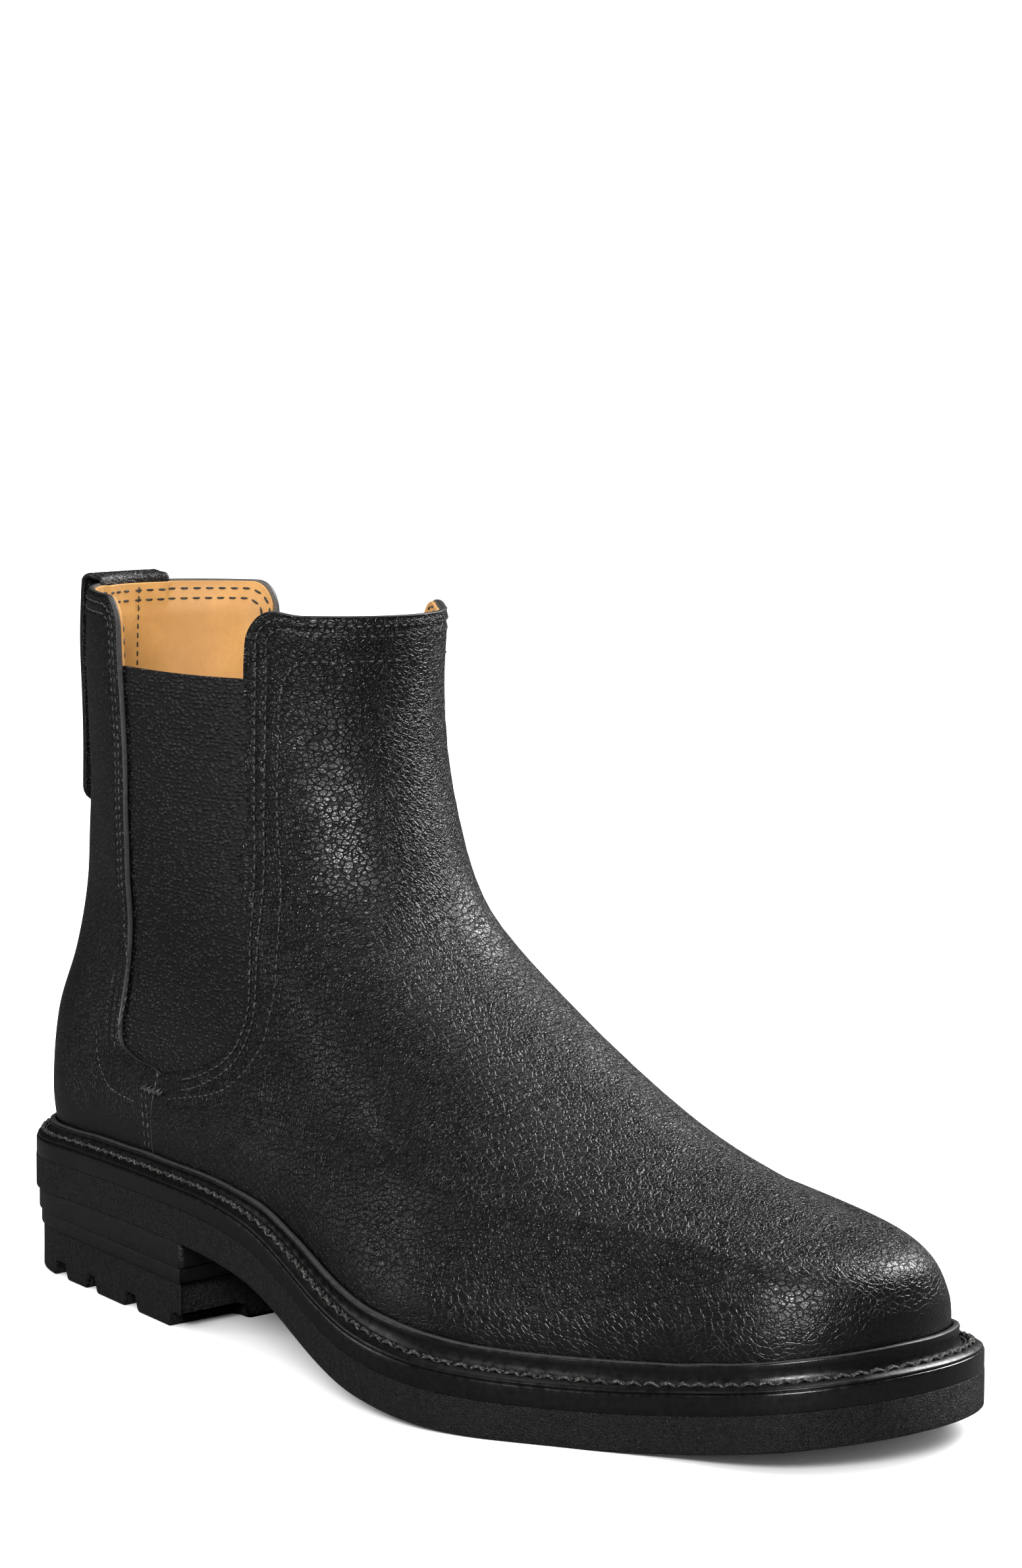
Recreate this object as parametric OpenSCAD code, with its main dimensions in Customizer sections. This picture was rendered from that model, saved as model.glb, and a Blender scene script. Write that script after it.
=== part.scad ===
// Chelsea boot for the right foot, standing on its heel and the ball of its sole.
// Millimetres, +Z up, toe towards -Y, heel towards +Y, outer (lateral) side towards -X.
// Distances along the boot are measured forwards from the back of the heel and called f.

/* [Size] */
// Length of the outsole
boot_length = 308; // [285:1:330]
// Width of the outsole at the ball of the foot
ball_width = 120; // [108:1:128]
// Height of the collar above the ground
collar_height = 183; // [165:1:215]

/* [Sole] */
// Thickness of the outsole
outsole_t = 9; // [6:0.5:10]
// Thickness of the midsole
midsole_t = 5; // [3:0.5:6]
// Height of the heel top piece with its lugs
top_piece_t = 12.4; // [9:0.2:13]
// Depth of the notches between the heel lugs
lug_depth = 4; // [2:0.5:6]
// Depth of the tread under the ball
tread_depth = 2.5; // [1:0.5:4]

/* [Upper] */
// Thickness of the outer leather
leather_t = 1.8; // [1.4:0.1:2.2]
// Thickness of the elastic of the gores
elastic_t = 1.1; // [0.8:0.1:1.4]
// Thickness of the leather lining
lining_t = 0.9; // [0.7:0.1:1.2]
// Height of the top edge of the elastic
elastic_top = 165; // [150:1:175]
// Height at which the back of the shaft bends
bend_height = 98; // [90:1:110]

/* [Pull loop] */
// Width of the pull strap
strap_w = 22; // [16:1:26]
// Thickness of the pull strap
strap_t = 1.5; // [1.2:0.1:2]
// Height of the lower end of the outer strap leg
strap_end = 123; // [115:1:150]

/* [Hidden] */

// The design size, from which the driving sizes scale everything
design_length = 308;
design_width = 120;
design_collar = 183;
k_len = boot_length / design_length;
k_wid = ball_width / design_width;
k_col = (collar_height - 70) / (design_collar - 70);

// Gaps between layers, and where each layer lies below the outer face of the leather
gap = 0.4;
elastic_out = leather_t + gap;
elastic_in = elastic_out + elastic_t;
lining_out = elastic_in + gap;
lining_in = lining_out + lining_t;
body_gap = 0.3;

// Shares of the length at which half widths are given; a half width is divided by its sweep angle's sine
WIDTH_KNOTS = [0, 0.14, 0.42, 0.66, 0.86, 1];
SOLE_LATERAL = [74, 52, 55, 70, 61, 90];
SOLE_MEDIAL = [75, 55, 38, 57, 66, 88];
// Height of the underside of the outsole along the boot: heel seat, waist, ball, toe spring
SPRING_KNOTS = [0, 0.27, 0.42, 0.6, 0.8, 1];
SPRING = [21.5, 23.2, 20.7, 4, 0, 8.3];
breast_f = 98 * k_len;
sole_sides = 72;

// Upper: each row is one closed line round the boot, from the feather line up to the collar:
// back f, back z, front f, front z (z is from the sole on the first two), lateral half widths,
// medial half widths, and how far the line sags between its ends (1 is straight)
ROWS = [
  [6.8, 0, 300, 0, [66, 45, 48, 62, 53, 78], [66, 46, 31, 50, 57, 78], 1],
  [4.1, 14, 300.5, 14, [65, 45, 47, 61, 53, 75], [62, 43, 30, 48, 55, 73], 1],
  [4, 70, 295.5, 45, [58.5, 40.5, 44, 54, 51, 62], [50, 36, 28, 39, 44, 55], 1.5],
  [9.7, 87, 272.5, 50.5, [52, 36, 39, 47, 49, 53], [41, 32, 27, 29, 33, 39], 1.3],
  [13.8, 103, 235, 61, [47, 35, 36.5, 41, 43, 45], [37, 31, 27, 28, 30.5, 33], 1.15],
  [15.9, 119, 190.5, 82, [42, 36, 36, 38, 39, 40], [34, 31, 28, 27.5, 29.5, 31.5], 1.05],
  [16.5, 135, 154, 104.5, [36, 34.5, 36, 37, 38, 39], [33, 31, 30, 30, 31, 33], 1],
  [16.6, 151, 139, 131, [34, 34.5, 36, 37, 38, 38], [34, 33, 32, 32, 33, 34], 1],
  [16.5, 167, 132.5, 158, [34, 35, 37, 38, 38, 38], [36, 35, 35, 35, 36, 36], 1],
  [17.4, 183, 133, 183, [34, 35.5, 38, 38, 38, 38], [37, 37, 37, 37, 37, 37], 1]
];
LAST = len(ROWS) - 1;
// Usual height between two lines of the shaft
row_rise = 17;

// Side view of the two edges of the gore opening, heights upwards from the sole: side seam, then gore
REAR_EDGE_Z = [36, 58, 62, 63.4, 67, 78, 98, 120, 145, 190];
REAR_EDGE_F = [75, 73, 71, 59, 50.5, 48.5, 51.5, 56, 59, 59];
// How much further back the rear edge stands at the collar on the inner side
medial_back = 13;
FRONT_EDGE = [
  [75, 37], [73.5, 54], [72.5, 61], [80, 63.2], [90, 65.5], [101, 71], [107.5, 78.5],
  [110.5, 88], [110.5, 104], [107.5, 130], [106, 155], [106, 182.9]
];
corner_r = 9;
// Side seam, and how far the leather laps over the elastic
seam_f = 73;
gore_lap = 5.5;
// Turn of the surface angle along one millimetre of the shaft's girth
deg_per_mm = 1.5;

// The free loop of the pull strap: outer radius and centre
loop_r = 3.9;
loop_y = boot_length / 2 - 18.1 * k_len;
loop_z = collar_height + 0.6;

// ---- curves -------------------------------------------------------------------------------

function seg(xs, t, i = 0) = (i >= len(xs) - 2 || t < xs[i + 1]) ? i : seg(xs, t, i + 1);

function slope(xs, ys, i) =
  let (a = max(i - 1, 0), b = min(i + 1, len(xs) - 1))
  (ys[b] - ys[a]) / (xs[b] - xs[a]);

// Smooth curve through the points (xs, ys)
function smooth(xs, ys, t) =
  let (
    i = seg(xs, t),
    h = xs[i + 1] - xs[i],
    q = min(max((t - xs[i]) / h, 0), 1),
    a = (2 * q - 3) * q * q + 1,
    b = ((q - 2) * q + 1) * q * h,
    c = (q - 1) * q * q * h
  )
  a * ys[i] + b * slope(xs, ys, i) + (1 - a) * ys[i + 1] + c * slope(xs, ys, i + 1);

// Straight lines through the points (xs, ys)
function broken(xs, ys, t) =
  let (i = seg(xs, t), q = min(max((t - xs[i]) / (xs[i + 1] - xs[i]), 0), 1))
  ys[i] + (ys[i + 1] - ys[i]) * q;

// One value between four neighbours
function between(p, t) =
  0.5 * (2 * p[1] + (p[2] - p[0]) * t + (2 * p[0] - 5 * p[1] + 4 * p[2] - p[3]) * t * t
    + (3 * p[1] - p[0] - 3 * p[2] + p[3]) * t * t * t);

function unit(a) = a / norm(a);

// ---- sole ---------------------------------------------------------------------------------

function bottom_z(f) = smooth(SPRING_KNOTS, SPRING, f / boot_length);
function sole_top(f) = bottom_z(f) + outsole_t + midsole_t;

// Point of the sole's plan outline; the angle runs from the heel over the lateral side to the toe
function sole_x(th) =
  let (w = sin(th) >= 0 ? SOLE_LATERAL : SOLE_MEDIAL)
  -sin(th) * smooth(WIDTH_KNOTS, w, (1 - cos(th)) / 2) * k_wid;

// The heel's centre line stands beside the middle of the sole's box by this much
SOLE_XS = [for (th = [0:2:358]) sole_x(th)];
mid_x = -(max(SOLE_XS) + min(SOLE_XS)) / 2;

function sole_xy(th) = [sole_x(th) + mid_x, boot_length * cos(th) / 2];

function inward(th) =
  let (d = sole_xy(th + 1) - sole_xy(th - 1))
  unit([-d[1], d[0]]);

function sole_in(th, d) = sole_xy(th) + inward(th) * d;

function plan(d, n = sole_sides) = [for (i = [0:n - 1]) sole_in(360 * i / n, d)];

// Side view of a layer of the sole between two heights above the underside, from f0 to f1
function layer_side(lo, hi, f0, f1, steps = 28) =
  let (fs = [for (i = [0:steps]) f0 + (f1 - f0) * i / steps])
  concat(
    [for (f = fs) [boot_length / 2 - f, bottom_z(f) + lo]],
    [for (i = [steps:-1:0]) [boot_length / 2 - fs[i], bottom_z(fs[i]) + hi]]
  );

module side_extrude(points, w = 200)
  rotate([90, 0, 90]) translate([0, 0, -w / 2]) linear_extrude(w) polygon(points);

module sole_layer(lo, hi, d, f0 = -4, f1 = boot_length + 4)
  intersection() {
    linear_extrude(80) polygon(plan(d));
    side_extrude(layer_side(lo, hi, f0, f1));
  }

// ---- upper --------------------------------------------------------------------------------

// Heights above the ankle stretch with the collar
function col_z(z) = z <= 70 ? z : 70 + (z - 70) * k_col;

function row_f(k) =
  k < 0 ? 2 * row_f(0) - row_f(1) : k > LAST ? 2 * row_f(LAST) - row_f(LAST - 1)
  : [ROWS[k][0], ROWS[k][2]] * k_len;

function row_z(k, s) =
  k < 0 ? 2 * row_z(0, s) - row_z(1, s) : k > LAST ? 2 * row_z(LAST, s) - row_z(LAST - 1, s)
  : k < 2 ? sole_top(row_f(k)[0] + s * (row_f(k)[1] - row_f(k)[0])) + ROWS[k][1]
  : col_z(ROWS[k][3]) + (col_z(ROWS[k][1]) - col_z(ROWS[k][3])) * pow(1 - s, ROWS[k][6]);

function row_w(k, s, side) =
  k < 0 ? 2 * row_w(0, s, side) - row_w(1, s, side)
  : k > LAST ? 2 * row_w(LAST, s, side) - row_w(LAST - 1, s, side)
  : smooth(WIDTH_KNOTS, ROWS[k][side], s) * k_wid;

function row_at(v) = min(max(floor(v * LAST), 0), LAST - 1);

// Back and front f of the line at v
function ends(v) =
  let (k = row_at(v), t = v * LAST - k)
  between([for (j = [-1:2]) row_f(k + j)], t);

function height(v, s) =
  let (k = row_at(v), t = v * LAST - k)
  between([for (j = [-1:2]) row_z(k + j, s)], t);

// Outer face of the leather at angle th (0 back, 90 lateral, 180 front, 270 medial) and height v
function skin(th, v) =
  let (
    k = row_at(v),
    t = v * LAST - k,
    s = (1 - cos(th)) / 2,
    side = sin(th) >= 0 ? 4 : 5,
    e = ends(v),
    w = between([for (j = [-1:2]) row_w(k + j, s, side)], t)
  )
  [mid_x - sin(th) * w, boot_length / 2 - e[0] - s * (e[1] - e[0]), height(v, s)];

function skin_normal(th, v) =
  let (a = skin(th + 0.7, v) - skin(th - 0.7, v), b = skin(th, v + 0.004) - skin(th, v - 0.004))
  unit(cross(a, b));

function skin_out(p, d) = skin(p[0], p[1]) + skin_normal(p[0], p[1]) * d;

// The line that passes the side view point (f, z), by halving
function v_at(f, z, lo = 0, hi = 1, n = 15) =
  n == 0 ? (lo + hi) / 2
  : let (
      m = (lo + hi) / 2,
      e = ends(m),
      s = min(max((f - e[0]) / (e[1] - e[0]), 0), 1)
    )
    height(m, s) < z ? v_at(f, z, m, hi, n - 1) : v_at(f, z, lo, m, n - 1);

function th_at(f, v) =
  let (e = ends(v))
  acos(1 - 2 * min(max((f - e[0]) / (e[1] - e[0]), 0), 1));

// Surface address [th, v] of the side view point (f, z); side is 1 lateral, -1 medial
function address(f, z, side) =
  let (v = v_at(f, z))
  [side * th_at(f, v), v];

function back_f(z) = ends(v_at(0, z))[0];

// Drop of a rounded corner at distance d from the edge
function corner_drop(d) =
  d >= corner_r ? 0 : corner_r - sqrt(corner_r * corner_r - pow(corner_r - max(d, 0), 2));

// Edge of the front panel: angle on the line at v, with d millimetres kept back from the edge
FRONT_V = [for (p = FRONT_EDGE) v_at(p[0] * k_len, col_z(p[1]))];
FRONT_TH = [for (i = [0:len(FRONT_EDGE) - 1]) th_at(FRONT_EDGE[i][0] * k_len, FRONT_V[i])];
function front_th(v, d = 0) = smooth(FRONT_V, FRONT_TH, v) + d * deg_per_mm;
function rear_f(z, side = 1) =
  let (lean = side < 0 ? medial_back * ease((z - col_z(118)) / 48) : 0)
  (broken([for (z = REAR_EDGE_Z) col_z(z)], REAR_EDGE_F, z) - lean) * k_len;

function ease(q) = let (t = min(max(q, 0), 1)) t * t * (3 - 2 * t);
function front_f(z) = broken([for (p = FRONT_EDGE) col_z(p[1])], [for (p = FRONT_EDGE) p[0]], z) * k_len;

// Grid over the front panel on the given lines, its upper corners rounded
FRONT_LINES = [
  0.006, 0.03, 0.06, 0.09, 0.12, 0.15, 0.18, 0.21, 0.25, 0.29, 0.34, 0.39,
  0.44, 0.5, 0.56, 0.62, 0.68, 0.74, 0.8, 0.86, 0.905, 0.94, 0.965, 0.985, 1
];
function front_grid(lines, cols, d = 0, corners = true) =
  [for (v = lines)
    [for (j = [0:cols])
      let (
        a = front_th(v, d),
        th = a + (360 - 2 * a) * j / cols,
        edge = min(j, cols - j) / cols * (360 - 2 * a) / deg_per_mm,
        drop = corners ? corner_drop(edge) / row_rise / LAST : 0,
        fade = max(v - 0.85, 0) / 0.15
      )
      [th, v - drop * fade]]];

// Grid over the back panel for the heights lo(f) to hi(f), which mix in each row by its share
function rear_grid(shares, lo, hi, cols, feather = false, d = 0, corners = false) =
  [for (share = shares)
    [for (j = [-cols:cols])
      let (
        side = j < 0 ? -1 : 1,
        q = abs(j) / cols,
        z_edge = feather ? mixed(seam_f * k_len, share, hi) : lo + (hi - lo) * share,
        f1 = rear_f(z_edge, side) - d,
        z_back = feather ? mixed(0, share, hi) : z_edge,
        f0 = back_f(z_back),
        f = f0 + (f1 - f0) * (1 - cos(90 * q)),
        z = feather ? mixed(f, share, hi) : z_edge,
        edge = (1 - q) * 46,
        fade = max(z - hi + 22, 0) / 22,
        drop = corners ? corner_drop(edge) * fade : 0
      )
      address(f, z - drop, side)]];

function mixed(f, share, hi) = (sole_top(f) + 0.2) * (1 - share) + hi * share;

// Closed shell over a grid of addresses, between two depths below the leather's outer face
module shell(grid, out, inn) {
  m = len(grid);
  n = len(grid[0]);
  outer = [for (r = grid) for (p = r) skin_out(p, -out)];
  inner = [for (r = grid) for (p = r) skin_out(p, -inn)];
  k = m * n;
  faces = concat(
    [for (i = [0:m - 2]) for (j = [0:n - 2]) let (a = i * n + j) each [
      [a, a + 1, a + n + 1], [a, a + n + 1, a + n],
      [k + a, k + a + n + 1, k + a + 1], [k + a, k + a + n, k + a + n + 1]]],
    [for (j = [0:n - 2]) let (a = j, b = (m - 1) * n + j) each [
      [a, k + a, k + a + 1], [a, k + a + 1, a + 1],
      [b, b + 1, k + b + 1], [b, k + b + 1, k + b]]],
    [for (i = [0:m - 2]) let (a = i * n, b = i * n + n - 1) each [
      [a, a + n, k + a + n], [a, k + a + n, k + a],
      [b, k + b, k + b + n], [b, k + b + n, b + n]]]
  );
  polyhedron(concat(inner, outer), faces);
}

// Closed or open tube whose cross sections are given point by point
module loft(sections, ring = false) {
  m = len(sections);
  n = len(sections[0]);
  last = ring ? m - 1 : m - 2;
  sides = [for (i = [0:last]) for (j = [0:n - 1])
    let (a = i * n, b = ((i + 1) % m) * n, c = (j + 1) % n) each [
      [a + j, b + j, b + c], [a + j, b + c, a + c]]];
  caps = ring ? [] : [[for (j = [0:n - 1]) j], [for (j = [n - 1:-1:0]) (m - 1) * n + j]];
  polyhedron([for (s = sections) each s], concat(sides, caps));
}

// ---- pieces of the sole -------------------------------------------------------------------

// Heel nails stand in a horseshoe, well inside the heel
nail_r = 1;
nail_ring_r = 22;
nail_ring_f = 44 * k_len;
nail_at = [for (a = [-130:52:130])
  [mid_x + nail_ring_r * sin(a), boot_length / 2 - nail_ring_f + nail_ring_r * cos(a)]];

module nails(r, lo, hi)
  for (p = nail_at)
    translate([p[0], p[1], lo]) cylinder(r = r, h = hi - lo, $fn = 12);

// Notches between the lugs: from f to f on both edges, open outwards from this half width
notch_in = 24;
NOTCHES = [[25, 33], [43, 50], [65, 73], [90, 101]];
recess_f = 47 * k_len;
recess_r = 11;
module lug_notch(f0, f1, side)
  translate([mid_x + (side > 0 ? notch_in : -100 - notch_in), boot_length / 2, 0])
    rotate([90, 0, 90]) linear_extrude(100)
      polygon([
        [-f0 * k_len, -1], [-f0 * k_len - 1.5, lug_depth], [-f1 * k_len + 1.5, lug_depth], [-f1 * k_len, -1]
      ]);

module heel_top_piece()
  color([0.07, 0.07, 0.075])
  difference() {
    intersection() {
      linear_extrude(top_piece_t) polygon(plan(2));
      translate([-80, boot_length / 2 - breast_f + 1, 0]) cube([160, 120, 60]);
    }
    for (side = [-1, 1])
      for (n = NOTCHES)
        lug_notch(n[0], n[1], side);
    translate([mid_x, boot_length / 2 - recess_f, -1]) cylinder(r = recess_r, h = lug_depth + 1, $fn = 48);
  }

// Height of the joint between the two lifts
lift_split = 16.4;
module heel_block(lo, hi, d)
  intersection() {
    translate([0, 0, lo]) linear_extrude(hi - lo) polygon(plan(d));
    translate([-80, boot_length / 2 - breast_f, lo]) cube([160, 120, 60]);
  }

module heel_lift_lower()
  color([0.09, 0.09, 0.095])
  difference() {
    heel_block(top_piece_t + 0.05, lift_split, 1.4);
    nails(nail_r + 0.05, 0, 60);
  }

module heel_lift_upper()
  color([0.09, 0.09, 0.095])
  difference() {
    intersection() {
      heel_block(lift_split + 0.05, 60, 0.8);
      side_extrude(layer_side(-30, -0.05, -4, breast_f + 4));
    }
    nails(nail_r + 0.05, 0, 60);
  }

module heel_nails()
  color([0.6, 0.6, 0.58])
  nails(nail_r, lift_split - 3, sole_top(nail_ring_f) - 1);

// Tread under the ball: rows of blocks left standing in a shallow recess
tread_f0 = 168 * k_len;
tread_f1 = 292 * k_len;
tread_margin = 11;
tread_pitch = 15.5;
tread_groove = 4;

module tread_recess()
  difference() {
    sole_layer(-1, tread_depth, tread_margin, tread_f0, tread_f1);
    for (i = [-4:4])
      for (j = [0:8])
        translate([(i + (j % 2) / 2) * tread_pitch, boot_length / 2 - tread_f0 - j * tread_pitch, -1])
          linear_extrude(30) square(tread_pitch - tread_groove, center = true);
  }

module outsole()
  color([0.09, 0.09, 0.095])
  difference() {
    sole_layer(0, outsole_t, 0);
    tread_recess();
    nails(nail_r + 0.05, 0, 60);
  }

module midsole()
  color([0.06, 0.06, 0.065])
  difference() {
    sole_layer(outsole_t + 0.05, outsole_t + midsole_t, 0.4);
    nails(nail_r + 0.05, 0, 60);
  }

// Storm welt: outer slope with the stitches, groove, and the rib that stands against the upper
welt_base = 0.1;
rib_t = 1.9;
// The rib is low round the heel and waist, and rises towards the toe
function rib_h(f) = smooth([0, 0.45, 0.66, 1], [4.4, 4.4, 5.8, 6.3], f / boot_length);
function welt_foot(th, h, d) =
  let (
    p = skin(th, h / 14 / LAST),
    q = skin_normal(th, h / 14 / LAST),
    o = unit([q[0], q[1]])
  )
  [p[0] + o[0] * d, p[1] + o[1] * d];

function welt_z(xy, h) = sole_top(boot_length / 2 - xy[1]) + h;
function welt_point(xy, h) = [xy[0], xy[1], welt_z(xy, h)];
function welt_mix(th, q, h) =
  let (a = welt_foot(th, 3, gap + rib_t), b = sole_in(th, 0.5), xy = a + (b - a) * q)
  welt_point(xy, h);

function welt_section(th) =
  let (h = rib_h(boot_length * (1 - cos(th)) / 2))
  [
    welt_point(welt_foot(th, 0, gap), welt_base),
    welt_point(welt_foot(th, h - 1, gap), h - 1),
    welt_point(welt_foot(th, h, gap + 0.6), h),
    welt_point(welt_foot(th, h - 0.5, gap + rib_t - 0.2), h - 0.5),
    welt_mix(th, 0, h / 2),
    welt_mix(th, 0.2, 1.4),
    welt_mix(th, 0.6, 1.6),
    welt_mix(th, 0.9, 1),
    welt_mix(th, 1, 0.5),
    welt_mix(th, 1, welt_base)
  ];

module storm_welt()
  color([0.1, 0.1, 0.1])
  loft([for (i = [0:71]) welt_section(i * 5)], true);

module welt_thread()
  color([0.2, 0.2, 0.2])
  loft([for (i = [0:71]) let (th = i * 5) [
    welt_mix(th, 0.36, 1.75), welt_mix(th, 0.36, 2.3), welt_mix(th, 0.66, 2.3), welt_mix(th, 0.66, 1.75)]], true);

// The insole stands inside the lining on the rib and the cork
insole_in = 14;
insole_lo = outsole_t + midsole_t + 3.2;
insole_t = 2.6;
foot_bed_t = 1.4;

module insole_rib()
  color([0.8, 0.74, 0.6])
  difference() {
    sole_layer(outsole_t + midsole_t + 0.1, insole_lo - 0.1, insole_in + 1);
    sole_layer(outsole_t + midsole_t - 3, insole_lo + 3, insole_in + 4);
  }

module cork_filler()
  color([0.62, 0.45, 0.28])
  sole_layer(outsole_t + midsole_t + gap, insole_lo - gap / 2, insole_in + 4.3, 150 * k_len, 300 * k_len);

module shank()
  color([0.55, 0.56, 0.58])
  intersection() {
    translate([mid_x - 7, -20, 0]) cube([14, 130, 90]);
    side_extrude(layer_side(outsole_t + midsole_t + 0.6, outsole_t + midsole_t + 2, 40, 148 * k_len));
  }

module insole_board()
  color([0.72, 0.6, 0.44])
  sole_layer(insole_lo, insole_lo + insole_t, insole_in);

module foot_bed()
  color([0.74, 0.53, 0.3])
  sole_layer(insole_lo + insole_t + 0.1, insole_lo + insole_t + foot_bed_t, insole_in + 0.4);

// ---- front of the upper -------------------------------------------------------------------

module vamp()
  color([0.06, 0.06, 0.065])
  shell(front_grid(FRONT_LINES, 32), 0, leather_t);

module front_lining()
  color([0.78, 0.58, 0.33])
  shell(front_grid([for (v = FRONT_LINES) 0.012 + v * 0.983], 26, 0.4), lining_out, lining_in);

module toe_puff()
  color([0.85, 0.83, 0.76])
  shell([for (i = [0:9]) [for (j = [0:20]) [118 + 124 * j / 20, 0.03 * (i + 0.4)]]],
    elastic_out + 0.1, elastic_in - 0.1);

// Tapes hold the top edge; they stop short of the corners and of the elastic
tape_w = 0.075;
module front_topline_tape()
  color([0.2, 0.2, 0.2])
  shell([for (i = [0, 1]) [for (j = [0:14]) [132 + 96 * j / 14, 0.992 - tape_w + i * tape_w]]],
    elastic_out, elastic_in);

// ---- back of the upper --------------------------------------------------------------------

// The lining stands a little clear of the sole
lining_lift = 0.03;
LOWER_SHARES = [0, 0.25, 0.4, 0.452, 0.478, 0.54, 0.66, 0.82, 1];

module rear_quarter_lower()
  color([0.06, 0.06, 0.065])
  shell(rear_grid(LOWER_SHARES, 0, bend_height - body_gap / 2, 8, true, body_gap), 0, leather_t);

module rear_lining_lower()
  color([0.78, 0.58, 0.33])
  shell(rear_grid([for (q = LOWER_SHARES) max(q, lining_lift)], 0, bend_height - body_gap / 2, 7, true, 1),
    lining_out, lining_in);

UPPER_SHARES = [0, 0.2, 0.4, 0.6, 0.76, 0.86, 0.93, 0.97, 1];

module rear_quarter_upper()
  color([0.06, 0.06, 0.065])
  shell(rear_grid(UPPER_SHARES, bend_height + body_gap / 2, collar_height, 9, false, 0, true), 0, leather_t);

module rear_lining_upper()
  color([0.78, 0.58, 0.33])
  shell(rear_grid(UPPER_SHARES, bend_height + body_gap / 2, collar_height - 0.5, 8, false, 1, true),
    lining_out, lining_in);

module rear_topline_tape()
  color([0.2, 0.2, 0.2])
  for (side = [-1, 1])
    shell([for (i = [0, 1]) [for (j = [0:4])
      let (a = side > 0 ? 19 + 33 * j / 4 : -52 + 33 * j / 4) [a, 0.992 - tape_w + i * tape_w]]],
      elastic_out, elastic_in);

module heel_counter()
  color([0.85, 0.83, 0.76])
  shell([for (i = [0:4]) [for (j = [-6:6])
    let (f = 58 * k_len * (1 - cos(15 * j)), z = mixed(f, 0.02 + i * 0.06, bend_height))
    address(back_f(z) + f * 0.75, z, j < 0 ? -1 : 1)]], elastic_out + 0.4, elastic_in);

// ---- gores, bar tacks and thread ----------------------------------------------------------

GORE_Z = [57, 60, 64, 70, 78, 88, 100, 115, 130, 148];
module gore(side)
  color([0.05, 0.05, 0.05])
  shell([for (z = concat([for (z = GORE_Z) col_z(z)], [elastic_top]))
    let (f0 = rear_f(z + gore_lap, side) - gore_lap, f1 = front_f(z + gore_lap) + gore_lap)
    [for (j = [0:9]) let (q = side > 0 ? j / 9 : 1 - j / 9) address(f0 + (f1 - f0) * q, z, side)]],
    elastic_out, elastic_in);

module lateral_gore() gore(1);
module medial_gore() gore(-1);

// Bar tacks close the side seam just below the gores
module bar_tack(side)
  color([0.04, 0.04, 0.04])
  shell([for (z = [56.2, 57.6]) [for (j = [0:4])
    let (q = side > 0 ? j / 4 : 1 - j / 4) address((seam_f - 5 + 10 * q) * k_len, z, side)]], -1.1, -0.2);

module lateral_bar_tack() bar_tack(1);
module medial_bar_tack() bar_tack(-1);

// A row of stitches, drawn as one fine cord that lies on the leather
thread_w = 0.7;
thread_out = 0.45;
module thread(path)
  loft([for (i = [0:len(path) - 1])
    let (
      p = skin_out(path[i], thread_out),
      a = skin_out(path[max(i - 1, 0)], thread_out),
      b = skin_out(path[min(i + 1, len(path) - 1)], thread_out),
      n = skin_normal(path[i][0], path[i][1]),
      s = unit(cross(n, b - a)) * thread_w / 2
    )
    [p - s, p + n * 0.4, p + s]]);

THREAD_Z = [68, 76, 86, 100, 116, 132, 148, 162, 172];
module front_thread_row(d) {
  up = [for (z = THREAD_Z) address(front_f(z) + d, z, 1)];
  v = 1 - d / row_rise / LAST;
  across = [for (j = [0:12]) let (a = up[8][0] + 7) [a + (360 - 2 * a) * j / 12, v]];
  down = [for (i = [8:-1:0]) [360 - address(front_f(THREAD_Z[i]) + d, THREAD_Z[i], 1)[0], up[i][1]]];
  thread(concat(up, across, down));
}

module front_panel_thread()
  color([0.12, 0.12, 0.12])
  for (d = [2.4, 5]) front_thread_row(d);

module rear_thread_row(d, side) {
  up = [for (i = [3:8]) address(rear_f(THREAD_Z[i], side) - d, THREAD_Z[i], side)];
  v = 1 - d / row_rise / LAST;
  across = [for (j = [0:4]) [side * (abs(up[5][0]) - 5 - j * (abs(up[5][0]) - 25) / 4), v]];
  thread(concat(up, across));
}

module rear_panel_thread()
  color([0.12, 0.12, 0.12])
  for (side = [-1, 1])
    for (d = [2.4, 5])
      rear_thread_row(d, side);

// ---- pull strap ---------------------------------------------------------------------------

strap_top = collar_height - 0.8;
// The lower end of a leg is rounded over this height
strap_round = 6;
function strap_grid(lo, cols) =
  [for (z = [lo, lo + 1.5, lo + 4, lo + 10, (lo + strap_top) / 2, strap_top - 8, strap_top])
    let (
      v = v_at(0, z),
      half = strap_w / 2 * sqrt(1 - pow(max(1 - (z - lo + 0.6) / strap_round, 0), 2))
    )
    [for (j = [-cols:cols]) [asin(half * j / cols / (ROWS[LAST][4][0] * k_wid)), v]]];

module strap_outer_leg()
  color([0.06, 0.06, 0.065])
  shell(strap_grid(strap_end, 3), -strap_t - body_gap, -body_gap);

module strap_inner_leg()
  color([0.06, 0.06, 0.065])
  shell(strap_grid(150, 3), elastic_out, elastic_in);

module pull_loop()
  color([0.06, 0.06, 0.065])
  translate([mid_x, loop_y, loop_z]) rotate([90, 0, 90]) translate([0, 0, -strap_w / 2])
    linear_extrude(strap_w) difference() {
      intersection() {
        circle(r = loop_r, $fn = 64);
        translate([-10, 0.5]) square([20, 10]);
      }
      circle(r = loop_r - strap_t, $fn = 64);
    }

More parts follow.
